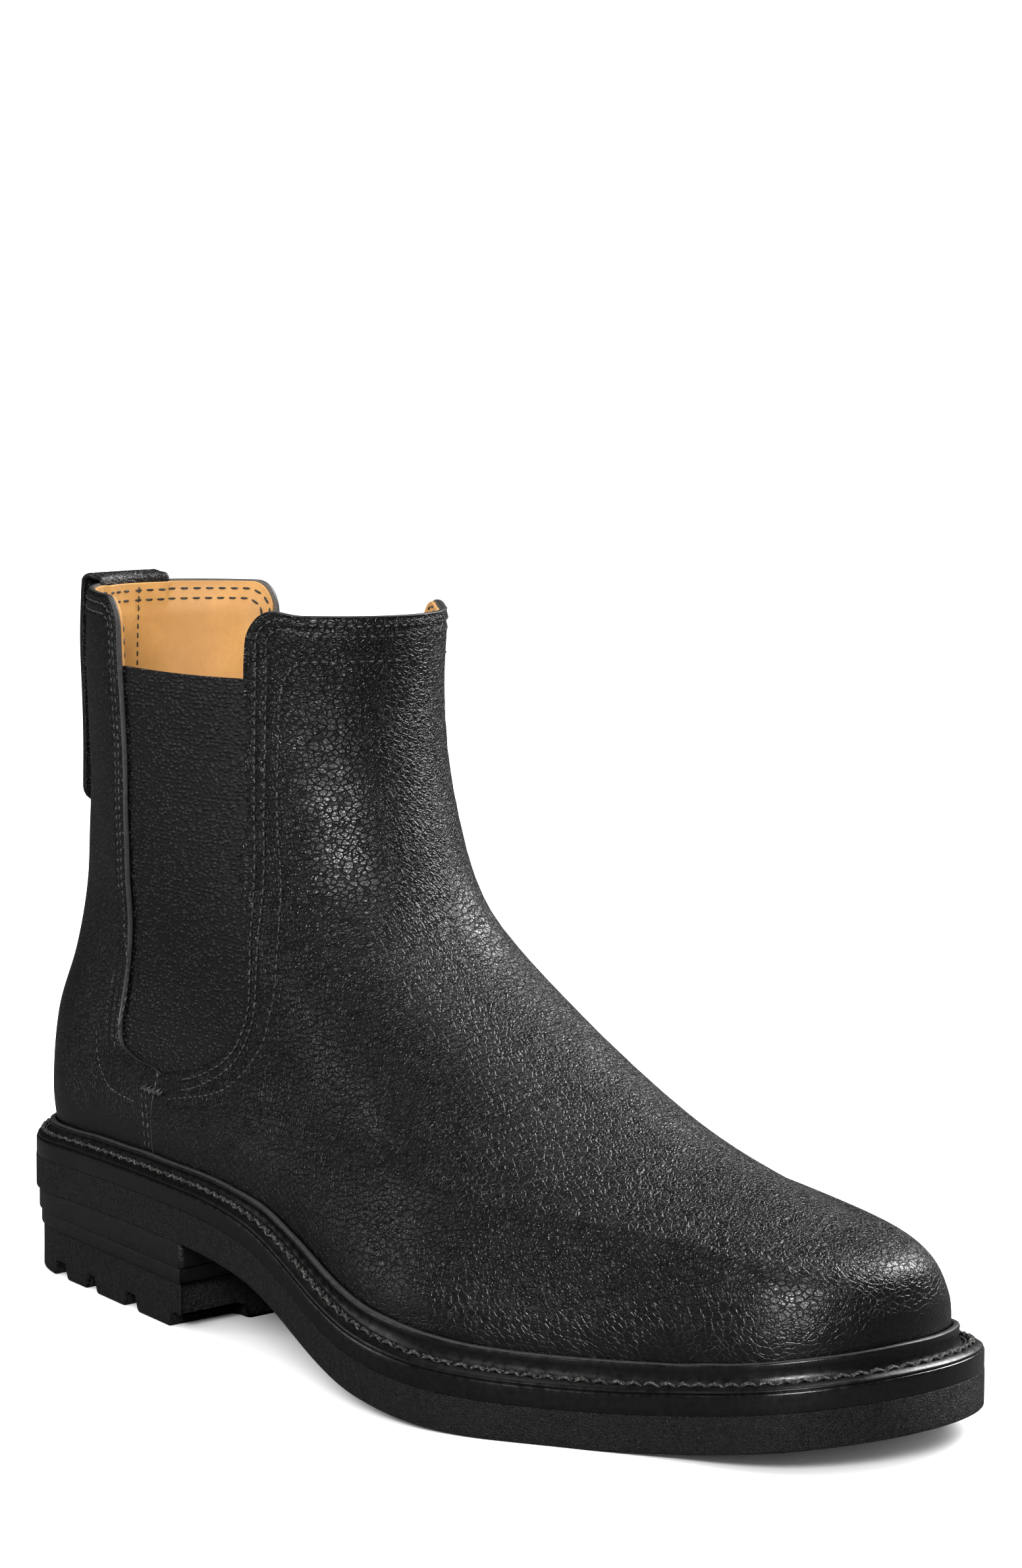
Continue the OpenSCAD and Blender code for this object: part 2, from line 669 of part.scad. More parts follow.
heel_top_piece();
heel_lift_lower();
heel_lift_upper();
heel_nails();
outsole();
midsole();
storm_welt();
welt_thread();
insole_rib();
cork_filler();
shank();
insole_board();
foot_bed();
vamp();
front_lining();
toe_puff();
front_topline_tape();
front_panel_thread();
rear_quarter_lower();
rear_lining_lower();
heel_counter();
lateral_gore();
medial_gore();
lateral_bar_tack();
medial_bar_tack();
rear_quarter_upper();
rear_lining_upper();
rear_topline_tape();
rear_panel_thread();
strap_outer_leg();
strap_inner_leg();
pull_loop();
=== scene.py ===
"""Looks of the chelsea boot: leather upper, elastic gores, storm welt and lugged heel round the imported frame.

Design numbers are millimetres in the part's frame; meshes are written in metres.
Along the boot, f is the distance forwards from the back of the heel. On the upper, a point has the
angle th (0 at the back, 90 degrees on the outer side, 180 at the toe) and the height share v.
"""

import math

import bpy
import numpy as np
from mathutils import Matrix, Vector


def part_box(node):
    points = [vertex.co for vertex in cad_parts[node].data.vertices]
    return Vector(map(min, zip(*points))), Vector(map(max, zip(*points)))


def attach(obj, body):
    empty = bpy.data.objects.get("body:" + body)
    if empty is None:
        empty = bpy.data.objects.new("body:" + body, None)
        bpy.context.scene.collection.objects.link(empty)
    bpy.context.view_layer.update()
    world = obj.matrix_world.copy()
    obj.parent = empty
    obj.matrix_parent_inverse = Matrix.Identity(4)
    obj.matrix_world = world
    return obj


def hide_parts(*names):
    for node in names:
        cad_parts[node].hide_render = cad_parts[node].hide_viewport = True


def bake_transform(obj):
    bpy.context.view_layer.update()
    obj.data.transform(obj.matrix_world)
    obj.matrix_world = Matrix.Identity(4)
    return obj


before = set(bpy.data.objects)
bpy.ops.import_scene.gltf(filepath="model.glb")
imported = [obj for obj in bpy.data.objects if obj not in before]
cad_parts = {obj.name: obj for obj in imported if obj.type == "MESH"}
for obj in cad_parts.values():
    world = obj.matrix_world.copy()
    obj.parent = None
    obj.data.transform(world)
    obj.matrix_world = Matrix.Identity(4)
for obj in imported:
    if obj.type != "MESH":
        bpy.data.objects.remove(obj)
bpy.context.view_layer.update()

MM = 0.001
TURN = 2 * math.pi
UP = (0, 0, 1.0)

# ---- sizes read from the frame ---------------------------------------------------------------------


def frame_box(node):
    """Lowest and highest corner of a CAD node, in millimetres."""
    low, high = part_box(node)
    return np.array(low) / MM, np.array(high) / MM


SOLE_LOW, SOLE_HIGH = frame_box("outsole")
LOOP_LOW, LOOP_HIGH = frame_box("pull_loop")
BOOT_LENGTH = float(SOLE_HIGH[1] - SOLE_LOW[1])
MID_X = float(LOOP_LOW[0] + LOOP_HIGH[0]) / 2
COLLAR = float(frame_box("vamp")[1][2])

OUTSOLE_T, MIDSOLE_T = 9.0, 5.0
TOP_PIECE_T, LIFT_SPLIT, LUG_DEPTH = 12.4, 16.4, 4.0
BREAST_F = 98.0
STRAP_HALF, STRAP_END, STRAP_IN_END = 11.5, 123.0, 150.0
LEATHER_T = 1.8
ELASTIC_OUT, ELASTIC_IN = 2.2, 3.3
LINING_OUT, LINING_T = 3.7, 0.9
ELASTIC_TOP = 165.0
BEND_LOW, BEND_HIGH = 86.0, 116.0
CORNER_R = 9.0
SEAM_F, OPENING_FOOT = 75, 61
STITCH_ROWS = (2.3, 4.9)

# ---- design tables, the same as the CAD part's -----------------------------------------------------

WIDTH_KNOTS = [0, 0.14, 0.42, 0.66, 0.86, 1]
SOLE_LATERAL = [74, 52, 55, 70, 61, 90]
SOLE_MEDIAL = [75, 55, 38, 57, 66, 88]
SPRING_KNOTS = [0, 0.27, 0.42, 0.6, 0.8, 1]
SPRING = [21.5, 23.2, 20.7, 4, 0, 8.3]
RIB_KNOTS, RIB_H = [0, 0.45, 0.66, 1], [4.4, 4.4, 5.8, 6.3]
# back f, back z, front f, front z, sag, lateral half widths, medial half widths
ROWS = [
    (6.8, 0, 300, 0, 1, [66, 45, 48, 62, 53, 78], [66, 46, 31, 50, 57, 78]),
    (4.1, 14, 300.5, 14, 1, [65, 45, 47, 61, 53, 75], [62, 43, 30, 48, 55, 73]),
    (4, 70, 295.5, 45, 1.5, [58.5, 40.5, 44, 54, 51, 62], [50, 36, 28, 39, 44, 55]),
    (9.7, 87, 272.5, 50.5, 1.3, [52, 36, 39, 47, 49, 53], [41, 32, 27, 29, 33, 39]),
    (13.8, 103, 235, 61, 1.15, [47, 35, 36.5, 41, 43, 45], [37, 31, 27, 28, 30.5, 33]),
    (15.9, 119, 190.5, 82, 1.05, [42, 36, 36, 38, 39, 40], [34, 31, 28, 27.5, 29.5, 31.5]),
    (16.5, 135, 154, 104.5, 1, [36, 34.5, 36, 37, 38, 39], [33, 31, 30, 30, 31, 33]),
    (16.6, 151, 139, 131, 1, [34, 34.5, 36, 37, 38, 38], [34, 33, 32, 32, 33, 34]),
    (16.5, 167, 132.5, 158, 1, [34, 35, 37, 38, 38, 38], [36, 35, 35, 35, 36, 36]),
    (17.4, 183, 133, 183, 1, [34, 35.5, 38, 38, 38, 38], [37, 37, 37, 37, 37, 37]),
]
LAST = len(ROWS) - 1
FOOT_BAND = ROWS[1][1]
# Side view (f, z) of the gore opening's two edges, upwards from the sole
REAR_EDGE = [
    (SEAM_F, 36), (73, 58), (71, 62), (59, 63.4), (50.5, 67),
    (48.5, 78), (51.5, 98), (56, 120), (59, 145), (59, 190),
]
FRONT_EDGE = [
    (SEAM_F, 37), (73.5, 54), (72.5, 61), (80, 63.2), (90, 65.5), (101, 71), (107.5, 78.5),
    (110.5, 88), (110.5, 104), (107.5, 130), (106, 155), (106, 182.9),
]
MEDIAL_BACK = 13.0  # how far the inner side's rear edge leans back at the collar

# ---- curves ----------------------------------------------------------------------------------------


def smooth(xs, ys, t):
    """Smooth curve through the points (xs, ys), with central slopes."""
    xs, ys = np.asarray(xs, float), np.asarray(ys, float)
    t = np.clip(t, xs[0], xs[-1])
    i = np.clip(np.searchsorted(xs, t, side="right") - 1, 0, len(xs) - 2)
    low = np.maximum(np.arange(len(xs)) - 1, 0)
    high = np.minimum(np.arange(len(xs)) + 1, len(xs) - 1)
    slope = (ys[high] - ys[low]) / (xs[high] - xs[low])
    h = xs[i + 1] - xs[i]
    q = (t - xs[i]) / h
    a = (2 * q - 3) * q * q + 1
    return (
        a * ys[i] + ((q - 2) * q + 1) * q * h * slope[i]
        + (1 - a) * ys[i + 1] + (q - 1) * q * q * h * slope[i + 1]
    )


def between(p0, p1, p2, p3, t):
    """One value between four neighbours."""
    square, cube = 2 * p0 - 5 * p1 + 4 * p2 - p3, 3 * p1 - p0 - 3 * p2 + p3
    return 0.5 * (2 * p1 + (p2 - p0) * t + square * t**2 + cube * t**3)


def step(low, high, x):
    """0 below low, 1 above high, smooth between them."""
    q = np.clip((np.asarray(x, float) - low) / (high - low), 0, 1)
    return q * q * (3 - 2 * q)


def bell(x, centre, width):
    return np.exp(-(((x - centre) / width) ** 2))


def unit(a):
    return a / np.maximum(np.linalg.norm(a, axis=-1, keepdims=True), 1e-12)


def run_along(points):
    """Distance along a path at each of its points."""
    return np.concatenate([[0], np.cumsum(np.linalg.norm(np.diff(points, axis=0), axis=1))])


def hash_noise(*cells):
    """A repeatable value from 0 to 1 for whole-numbered cells."""
    total = sum(np.asarray(c, float) * k for c, k in zip(cells, (127.1, 311.7, 74.7)))
    return np.mod(np.sin(total) * 43758.5453, 1.0)


def value_noise(x, y, seed=0):
    """Smooth noise from -1 to 1 with cells of size 1."""
    i, j = np.floor(x), np.floor(y)
    u, w = x - i, y - j
    u, w = u * u * (3 - 2 * u), w * w * (3 - 2 * w)
    low = hash_noise(i, j, seed) * (1 - u) + hash_noise(i + 1, j, seed) * u
    high = hash_noise(i, j + 1, seed) * (1 - u) + hash_noise(i + 1, j + 1, seed) * u
    return 2 * (low * (1 - w) + high * w) - 1


# ---- shape of the sole -----------------------------------------------------------------------------


def bottom_z(f):
    return smooth(SPRING_KNOTS, SPRING, np.asarray(f, float) / BOOT_LENGTH)


def sole_top(f):
    return bottom_z(f) + OUTSOLE_T + MIDSOLE_T


def sole_xy(th):
    s = (1 - np.cos(th)) / 2
    lateral, medial = (smooth(WIDTH_KNOTS, widths, s) for widths in (SOLE_LATERAL, SOLE_MEDIAL))
    w = np.where(np.sin(th) >= 0, lateral, medial)
    return np.stack([MID_X - np.sin(th) * w, BOOT_LENGTH / 2 * np.cos(th)], -1)


def sole_in(th, d):
    """The sole's plan outline, d millimetres inside its edge."""
    along = unit(sole_xy(th + 0.02) - sole_xy(th - 0.02))
    inward = np.stack([-along[..., 1], along[..., 0]], -1)
    return sole_xy(th) + inward * np.asarray(d)[..., None]


def to_f(y):
    return BOOT_LENGTH / 2 - y


# ---- shape of the upper ----------------------------------------------------------------------------

ROW_F = np.array([[r[0], r[2]] for r in ROWS], float)
ROW_F = np.vstack([2 * ROW_F[0] - ROW_F[1], ROW_F, 2 * ROW_F[-1] - ROW_F[-2]])


def line_heights(s):
    """Height of every design line at the length share s, with one more beyond each end."""
    z = []
    for k, (f0, z0, f1, z1, sag, _, _) in enumerate(ROWS):
        if k < 2:
            z.append(sole_top(f0 + s * (f1 - f0)) + z0)
        else:
            z.append(z1 + (z0 - z1) * np.maximum(1 - s, 0) ** sag)
    return np.stack([2 * z[0] - z[1], *z, 2 * z[-1] - z[-2]])


def line_widths(s, column):
    w = [smooth(WIDTH_KNOTS, row[column], s) for row in ROWS]
    return np.stack([2 * w[0] - w[1], *w, 2 * w[-1] - w[-2]])


def pick(table, k, t):
    """Mix the design lines round k; table holds one entry per line, extended at both ends."""
    rows = [np.take_along_axis(table, (k + j)[None], 0)[0] for j in range(4)]
    return between(*rows, t)


def line_of(v):
    k = np.clip(np.floor(v * LAST), 0, LAST - 1).astype(int)
    return k, v * LAST - k


def ends(v):
    """Back and front f of the line at v."""
    k, t = line_of(v)
    return tuple(between(*(ROW_F[k + j, e] for j in range(4)), t) for e in (0, 1))


def height(v, s):
    k, t = line_of(v)
    return pick(line_heights(s), k, t)


def skin(th, v):
    """Outer face of the leather."""
    th, v = np.broadcast_arrays(np.asarray(th, float), np.asarray(v, float))
    k, t = line_of(v)
    s = (1 - np.cos(th)) / 2
    f0, f1 = ends(v)
    w = np.where(np.sin(th) >= 0, pick(line_widths(s, 5), k, t), pick(line_widths(s, 6), k, t))
    y = BOOT_LENGTH / 2 - f0 - s * (f1 - f0)
    return np.stack([MID_X - np.sin(th) * w, y, pick(line_heights(s), k, t)], -1)


def skin_steps(th, v):
    """Movement of the surface point for a turn of one radian, and for a rise of one v."""
    a, b = 0.012, 0.004
    return (skin(th + a, v) - skin(th - a, v)) / (2 * a), (skin(th, v + b) - skin(th, v - b)) / (2 * b)


def skin_normal(th, v):
    along, up = skin_steps(th, v)
    return unit(np.cross(along, up))


def skin_at(th, v, depth=0.0):
    """Point at a depth below the leather's outer face."""
    return skin(th, v) - skin_normal(th, v) * np.asarray(depth, float)[..., None]


def v_at(f, z):
    """The line that passes the side view point (f, z)."""
    f, z = np.broadcast_arrays(np.asarray(f, float), np.asarray(z, float))
    low, high = np.zeros(f.shape), np.ones(f.shape)
    for _ in range(18):
        mid = (low + high) / 2
        f0, f1 = ends(mid)
        under = height(mid, np.clip((f - f0) / (f1 - f0), 0, 1)) < z
        low, high = np.where(under, mid, low), np.where(under, high, mid)
    return (low + high) / 2


def th_at(f, v):
    f0, f1 = ends(v)
    return np.arccos(np.clip(1 - 2 * (f - f0) / (f1 - f0), -1, 1))


def address(f, z, side):
    """Surface address of a side view point; side is 1 outer, -1 inner."""
    v = v_at(f, z)
    return side * th_at(f, v), v


# ---- edges of the panels ---------------------------------------------------------------------------


def spline(points, pitch=0.5):
    """Evenly spaced points on a smooth curve through the given ones."""
    p = np.array(points, float)
    p = np.vstack([2 * p[0] - p[1], p, 2 * p[-1] - p[-2]])
    t = np.linspace(0, 1, 12, endpoint=False)[:, None]
    dense = [between(p[i], p[i + 1], p[i + 2], p[i + 3], t) for i in range(len(p) - 3)]
    return evenly(np.vstack([*dense, p[-2:-1]]), pitch)


def evenly(points, pitch):
    run = run_along(points)
    at = np.linspace(0, run[-1], max(2, int(round(run[-1] / pitch)) + 1))
    return np.stack([np.interp(at, run, points[:, c]) for c in range(points.shape[1])], -1)


def offset(points, d):
    """The side view curve moved d millimetres to its left."""
    along = unit(np.gradient(points, axis=0))
    return points + np.stack([-along[:, 1], along[:, 0]], -1) * d


def edge_f(edge, z):
    """f of an edge at a height; edges rise steadily."""
    e = np.array(edge, float)
    return np.interp(z, e[:, 1], e[:, 0])


def rounded_corner(f_edge, direction):
    """Side view of a panel's rounded upper corner, from its side edge onto the collar."""
    turn = np.linspace(0, math.pi / 2, 14)
    f = f_edge + direction * CORNER_R * (1 - np.cos(turn))
    return np.stack([f, COLLAR - CORNER_R * (1 - np.sin(turn))], -1)


def free_edge(edge, direction):
    """Side view of a panel's edge along the gore, round its upper corner and on along the collar."""
    turn_z = COLLAR - CORNER_R
    turn_f = edge_f(edge, turn_z)
    points = spline([p for p in edge if OPENING_FOOT <= p[1] < turn_z - 6] + [(turn_f, turn_z)])
    corner = rounded_corner(turn_f, direction)
    run_out = np.array([[corner[-1][0] + direction * 30, COLLAR]])
    return evenly(np.vstack([points, corner[1:], run_out]), 0.5)


# By side: 1 is outer, -1 inner
REAR_EDGES = {
    1: REAR_EDGE,
    -1: [(f - MEDIAL_BACK * step(118, 166, z), z) for f, z in spline(REAR_EDGE, 4)],
}
REAR_FREES = {side: free_edge(edge, -1) for side, edge in REAR_EDGES.items()}
FRONT_FREE = free_edge(FRONT_EDGE, 1)


def distance_to(curve, f, z):
    """Side view distance from the points (f, z) to a curve."""
    best = np.full(np.shape(f), 1e9)
    for a in range(0, len(curve), 60):
        part = curve[a:a + 60]
        d = (f[..., None] - part[:, 0]) ** 2 + (z[..., None] - part[:, 1]) ** 2
        best = np.minimum(best, d.min(-1))
    return np.sqrt(best)


def corner_drop(d):
    """How far a rounded corner lies below the collar, d from the panel's side edge."""
    r = CORNER_R
    return np.where(d >= r, 0, r - np.sqrt(np.maximum(r * r - (r - np.clip(d, 0, r)) ** 2, 0)))


# ---- meshes ----------------------------------------------------------------------------------------


def mesh(name, points, faces, materials, slots=None, uv=None, grain=None):
    """A smooth-shaded mesh from points in millimetres."""
    data = bpy.data.meshes.new(name)
    faces = faces if isinstance(faces, list) else faces.tolist()
    data.from_pydata((np.asarray(points) * MM).tolist(), [], faces)
    for m in materials:
        data.materials.append(m)
    data.polygons.foreach_set("use_smooth", np.ones(len(data.polygons), bool))
    if slots is not None:
        data.polygons.foreach_set("material_index", np.asarray(slots, np.int32))
    if uv is not None:
        layer = data.uv_layers.new(name="UVMap")
        corner = np.zeros(len(data.loops), np.int32)
        data.loops.foreach_get("vertex_index", corner)
        layer.data.foreach_set("uv", np.asarray(uv, float)[corner].ravel())
    if grain is not None:
        layer = data.attributes.new("grain", "FLOAT", "POINT")
        layer.data.foreach_set("value", np.asarray(grain, np.float32).ravel())
    data.validate()
    data.update()
    obj = bpy.data.objects.new(name, data)
    bpy.context.scene.collection.objects.link(obj)
    return obj


def grid_faces(m, n, start=0, flip=False):
    """Quads over an m by n grid of points."""
    i, j = np.meshgrid(np.arange(m - 1), np.arange(n - 1), indexing="ij")
    a = start + (i * n + j).ravel()
    q = np.stack([a, a + 1, a + n + 1, a + n], -1)
    return q[:, ::-1] if flip else q


def rim(m, n, start=0):
    """Indices round the border of an m by n grid, once round."""
    i = np.arange(m)
    j = np.arange(n)
    return start + np.concatenate([j, i[1:] * n + n - 1, (m - 1) * n + j[::-1][1:], (i[::-1][1:-1]) * n])


def strip(a, b):
    """Quads that join two closed loops of indices."""
    return np.stack([a, b, np.roll(b, -1), np.roll(a, -1)], -1)


# Rings round a sheet's edge: share of the way inwards, and bulge as a share of the thickness
EDGE_ROUND = ((0.2, 0.1), (0.5, 0.14), (0.8, 0.1))


def shell(name, th, v, out, inn, materials, uv=None, grain=None, edge_slot=0, inner_slot=0):
    """A closed sheet over a grid of addresses, between two depths, its edges rounded over."""
    m, n = th.shape
    out = np.broadcast_to(np.asarray(out, float), th.shape)
    inn = np.broadcast_to(np.asarray(inn, float), th.shape)
    base, normal = skin(th, v), skin_normal(th, v)
    outer = (base - normal * out[..., None]).reshape(-1, 3)
    inner = (base - normal * inn[..., None]).reshape(-1, 3)
    border = rim(m, n)
    side = edge_outward(base, border)
    thick = (inn - out).ravel()[border][:, None]
    rings = [outer[border] * (1 - q) + inner[border] * q + side * thick * bulge for q, bulge in EDGE_ROUND]
    points = np.vstack([outer, inner, *rings])
    count = len(border)
    between_rings = (2 * m * n + k * count + np.arange(count) for k in range(len(rings)))
    loops = [border, *between_rings, border + m * n]
    walls = np.vstack([strip(a, b) for a, b in zip(loops, loops[1:])])
    faces = np.vstack([grid_faces(m, n), grid_faces(m, n, m * n, flip=True), walls])
    quads = (m - 1) * (n - 1)
    slots = np.concatenate([np.zeros(quads), np.full(quads, inner_slot), np.full(len(walls), edge_slot)])
    if uv is not None:
        uv = np.asarray(uv).reshape(-1, 2)
        uv = np.vstack([uv, uv, *[uv[border]] * 3])
    if grain is not None:
        g = np.asarray(grain, float).ravel()
        grain = np.concatenate([g, g, *[g[border]] * 3])
    return mesh(name, points, faces, materials, slots, uv, grain)


def edge_outward(base, border):
    """At each border point, the direction that leaves the sheet along its own surface."""
    m, n, _ = base.shape
    rows, cols = border // n, border % n
    inside = base[np.clip(rows, 1, m - 2), np.clip(cols, 1, n - 2)]
    return unit(base[rows, cols] - inside)


def tube(path, radius, normals, sides=6, flat=1.0):
    """Points and faces of a closed tube along a path, tapered at both ends."""
    path, normals = np.asarray(path, float), unit(np.asarray(normals, float))
    along = unit(np.gradient(path, axis=0))
    across = unit(np.cross(along, normals))
    up = np.cross(across, along)
    taper = np.ones(len(path))
    taper[0] = taper[-1] = 0.35
    turn = (np.arange(sides) * TURN / sides)[None, :, None]
    ring = across[:, None] * np.cos(turn) + up[:, None] * np.sin(turn) * flat
    points = (path[:, None] + ring * radius * taper[:, None, None]).reshape(-1, 3)
    faces = []
    for i in range(len(path) - 1):
        for j in range(sides):
            k = (j + 1) % sides
            faces.append([i * sides + j, i * sides + k, (i + 1) * sides + k, (i + 1) * sides + j])
    faces.append(list(range(sides))[::-1])
    faces.append([(len(path) - 1) * sides + j for j in range(sides)])
    return points, faces


def gather(name, pieces, slot, *nodes, body="boot"):
    """One finished piece from many (points, faces) parts."""
    points, faces, start = [], [], 0
    for p, f in pieces:
        points.append(p)
        faces += [[start + c for c in face] for face in f]
        start += len(p)
    return finish_piece(mesh(name, np.vstack(points), faces, look(slot)), slot, *nodes, body=body)


def stitches(th, v, depth, pitch, radius=0.26):
    """Separate stitches along a path of addresses; each dips into the leather at its ends."""
    share, rise = 0.72, 0.16
    depth = np.broadcast_to(np.asarray(depth, float), th.shape)
    length = run_along(skin_at(th, v, depth))
    count = max(1, int(round(length[-1] / pitch)))
    made = []
    for i in range(count):
        q = (i + 0.5 + share * np.linspace(-0.5, 0.5, 5)) * length[-1] / count
        a, b = np.interp(q, length, th), np.interp(q, length, v)
        level = np.interp(q, length, depth)
        lift = rise * np.array([-1.2, 0.6, 1, 0.6, -1.2]) * np.where(level < LEATHER_T, 1, -1)
        made.append(tube(skin_at(a, b, level - lift), radius, skin_normal(a, b), flat=0.8))
    return made


# ---- materials -------------------------------------------------------------------------------------


class Look:
    """A small builder for one procedural material."""

    def __init__(self, name, colour, roughness, **sockets):
        self.material = bpy.data.materials.new(name)
        self.material.use_nodes = True
        self.tree = self.material.node_tree
        self.shader = self.tree.nodes["Principled BSDF"]
        self.shader.inputs["Base Color"].default_value = (*colour, 1)
        self.shader.inputs["Roughness"].default_value = roughness
        for key, value in sockets.items():
            self.shader.inputs[key.replace("_", " ")].default_value = value
        self.height = None

    def node(self, kind, **settings):
        made = self.tree.nodes.new("ShaderNode" + kind)
        for key, value in settings.items():
            setattr(made, key, value)
        return made

    def link(self, socket, value):
        if isinstance(value, bpy.types.NodeSocket):
            self.tree.links.new(value, socket)
        else:
            socket.default_value = value

    def place(self, scale=(1, 1, 1), uv=False):
        """Coordinates in millimetres times scale, from the object or from its UV map."""
        source = self.node("TexCoord").outputs["UV" if uv else "Object"]
        mapping = self.node("Mapping")
        self.link(mapping.inputs["Vector"], source)
        size = 1 if uv else 1 / MM
        self.link(mapping.inputs["Scale"], [s * size for s in scale])
        return mapping.outputs["Vector"]

    def bend(self, vector, scale, amount):
        """The coordinates pushed about by noise."""
        noise = self.noise(vector, scale, 2, colour=True)
        centred = self.vector("SUBTRACT", noise, (0.5, 0.5, 0.5))
        return self.vector("ADD", vector, self.vector("SCALE", centred, scale=amount))

    def vector(self, operation, a, b=None, scale=None):
        made = self.node("VectorMath", operation=operation)
        self.link(made.inputs[0], a)
        if b is not None:
            self.link(made.inputs[1], b)
        if scale is not None:
            self.link(made.inputs["Scale"], scale)
        return made.outputs["Vector"]

    def noise(self, vector, scale, detail=3, roughness=0.55, colour=False):
        made = self.node("TexNoise")
        self.link(made.inputs["Vector"], vector)
        made.inputs["Scale"].default_value = scale
        made.inputs["Detail"].default_value = detail
        made.inputs["Roughness"].default_value = roughness
        return made.outputs["Color" if colour else "Fac"]

    def cells(self, vector, scale, feature="DISTANCE_TO_EDGE", randomness=1.0):
        made = self.node("TexVoronoi", feature=feature)
        self.link(made.inputs["Vector"], vector)
        made.inputs["Scale"].default_value = scale
        made.inputs["Randomness"].default_value = randomness
        return made.outputs["Distance"]

    def twist(self, vector, scale):
        """Slanting bands, as of a twisted thread."""
        made = self.node("TexWave", bands_direction="DIAGONAL")
        self.link(made.inputs["Vector"], vector)
        made.inputs["Scale"].default_value = scale
        return made.outputs["Fac"]

    def math(self, operation, a, b=0.0):
        made = self.node("Math", operation=operation)
        self.link(made.inputs[0], a)
        self.link(made.inputs[1], b)
        return made.outputs[0]

    def remap(self, value, low, high, to_low=0.0, to_high=1.0):
        made = self.node("MapRange", interpolation_type="SMOOTHSTEP")
        self.link(made.inputs["Value"], value)
        limits = {"From Min": low, "From Max": high, "To Min": to_low, "To Max": to_high}
        for key, number in limits.items():
            self.link(made.inputs[key], number)
        return made.outputs["Result"]

    def attribute(self, name):
        return self.node("Attribute", attribute_name=name).outputs["Fac"]

    def mix(self, share, low, high):
        made = self.node("Mix", data_type="RGBA")
        self.link(made.inputs[0], share)
        self.link(made.inputs[6], (*low, 1) if isinstance(low, tuple) else low)
        self.link(made.inputs[7], (*high, 1) if isinstance(high, tuple) else high)
        return made.outputs[2]

    def colour(self, value):
        self.link(self.shader.inputs["Base Color"], value)

    def roughness(self, value):
        self.link(self.shader.inputs["Roughness"], value)

    def bump(self, height, depth_mm, strength=1.0):
        """Adds a bump layer; layers follow one another."""
        made = self.node("Bump")
        self.link(made.inputs["Height"], height)
        made.inputs["Distance"].default_value = depth_mm * MM
        self.link(made.inputs["Strength"], strength)
        if self.height is not None:
            self.link(made.inputs["Normal"], self.height)
        self.height = made.outputs["Normal"]
        self.link(self.shader.inputs["Normal"], self.height)


def grain_leather(name, cell, depth, roughness):
    """Black pebbled leather: cells of the given size in millimetres, with finer ones among them, and painted
    shade in the cracks between them.
    """
    look = Look(name, (0.0016, 0.0016, 0.0017), roughness)
    space = look.place((1, 1, 1.35))
    bent = look.bend(space, 0.35, 1.3)
    grain = look.attribute("grain")
    large = look.remap(look.cells(bent, 1 / cell), 0.0, 0.13)
    small = look.remap(look.cells(look.bend(space, 0.9, 0.5), 2.1 / cell), 0.0, 0.2)
    patches = look.remap(look.noise(space, 0.09, 2), 0.3, 0.6, 0.7, 1.0)
    pebble = look.math("ADD", look.math("MULTIPLY", large, 0.82), look.math("MULTIPLY", small, 0.18))
    look.bump(look.noise(space, 0.22, 4), 0.05, 0.5)
    look.bump(pebble, depth, look.math("MULTIPLY", grain, patches))
    look.bump(look.noise(space, 4.5, 3), 0.008, 0.5)
    valley = look.math("MULTIPLY", look.math("SUBTRACT", 1.0, large), grain)
    wear = look.remap(look.noise(space, 0.3, 3), 0.3, 0.7, roughness - 0.05, roughness + 0.07)
    look.roughness(look.math("ADD", wear, look.math("MULTIPLY", valley, 0.25)))
    # Painted shade: the colour darkens towards the cracks between the pebbles.
    look.colour(look.mix(valley, (0.0018, 0.0018, 0.0019), (0.0003, 0.0003, 0.0003)))
    return look.material


def smooth_leather(name, colour, roughness):
    """Leather with pores and no pebbles: the welt, and cut or dressed edges."""
    look = Look(name, colour, roughness)
    space = look.place()
    pores = look.cells(look.bend(space, 1.2, 0.4), 1.6)
    look.bump(look.noise(space, 0.4, 4), 0.08, 0.5)
    look.bump(look.remap(pores, 0, 0.2), 0.012, 0.5)
    look.roughness(look.remap(look.noise(space, 0.5, 4), 0.3, 0.7, roughness - 0.06, roughness + 0.1))
    stain = look.remap(look.noise(space, 0.8, 4), 0.35, 0.7)
    look.colour(look.mix(stain, colour, tuple(c * 0.7 for c in colour)))
    return look.material


def tan_leather(name, light, dark, roughness):
    """Undyed lining leather, blotched and fibrous."""
    look = Look(name, light, roughness)
    space = look.place()
    fibre = look.noise(look.place((1, 1, 0.35)), 1.6, 5, 0.7)
    blotch = look.remap(look.noise(space, 0.06, 4), 0.3, 0.7)
    speck = look.remap(look.cells(space, 1.1, "F1"), 0.05, 0.5)
    look.bump(fibre, 0.12, 0.6)
    look.bump(look.noise(space, 0.15, 3), 0.5, 0.4)
    base = look.mix(blotch, light, dark)
    fibres = look.math("MULTIPLY", look.remap(fibre, 0.3, 0.75), 0.5)
    look.colour(look.mix(fibres, base, tuple(c * 0.72 for c in light)))
    look.roughness(look.remap(speck, 0, 1, roughness, roughness + 0.15))
    return look.material


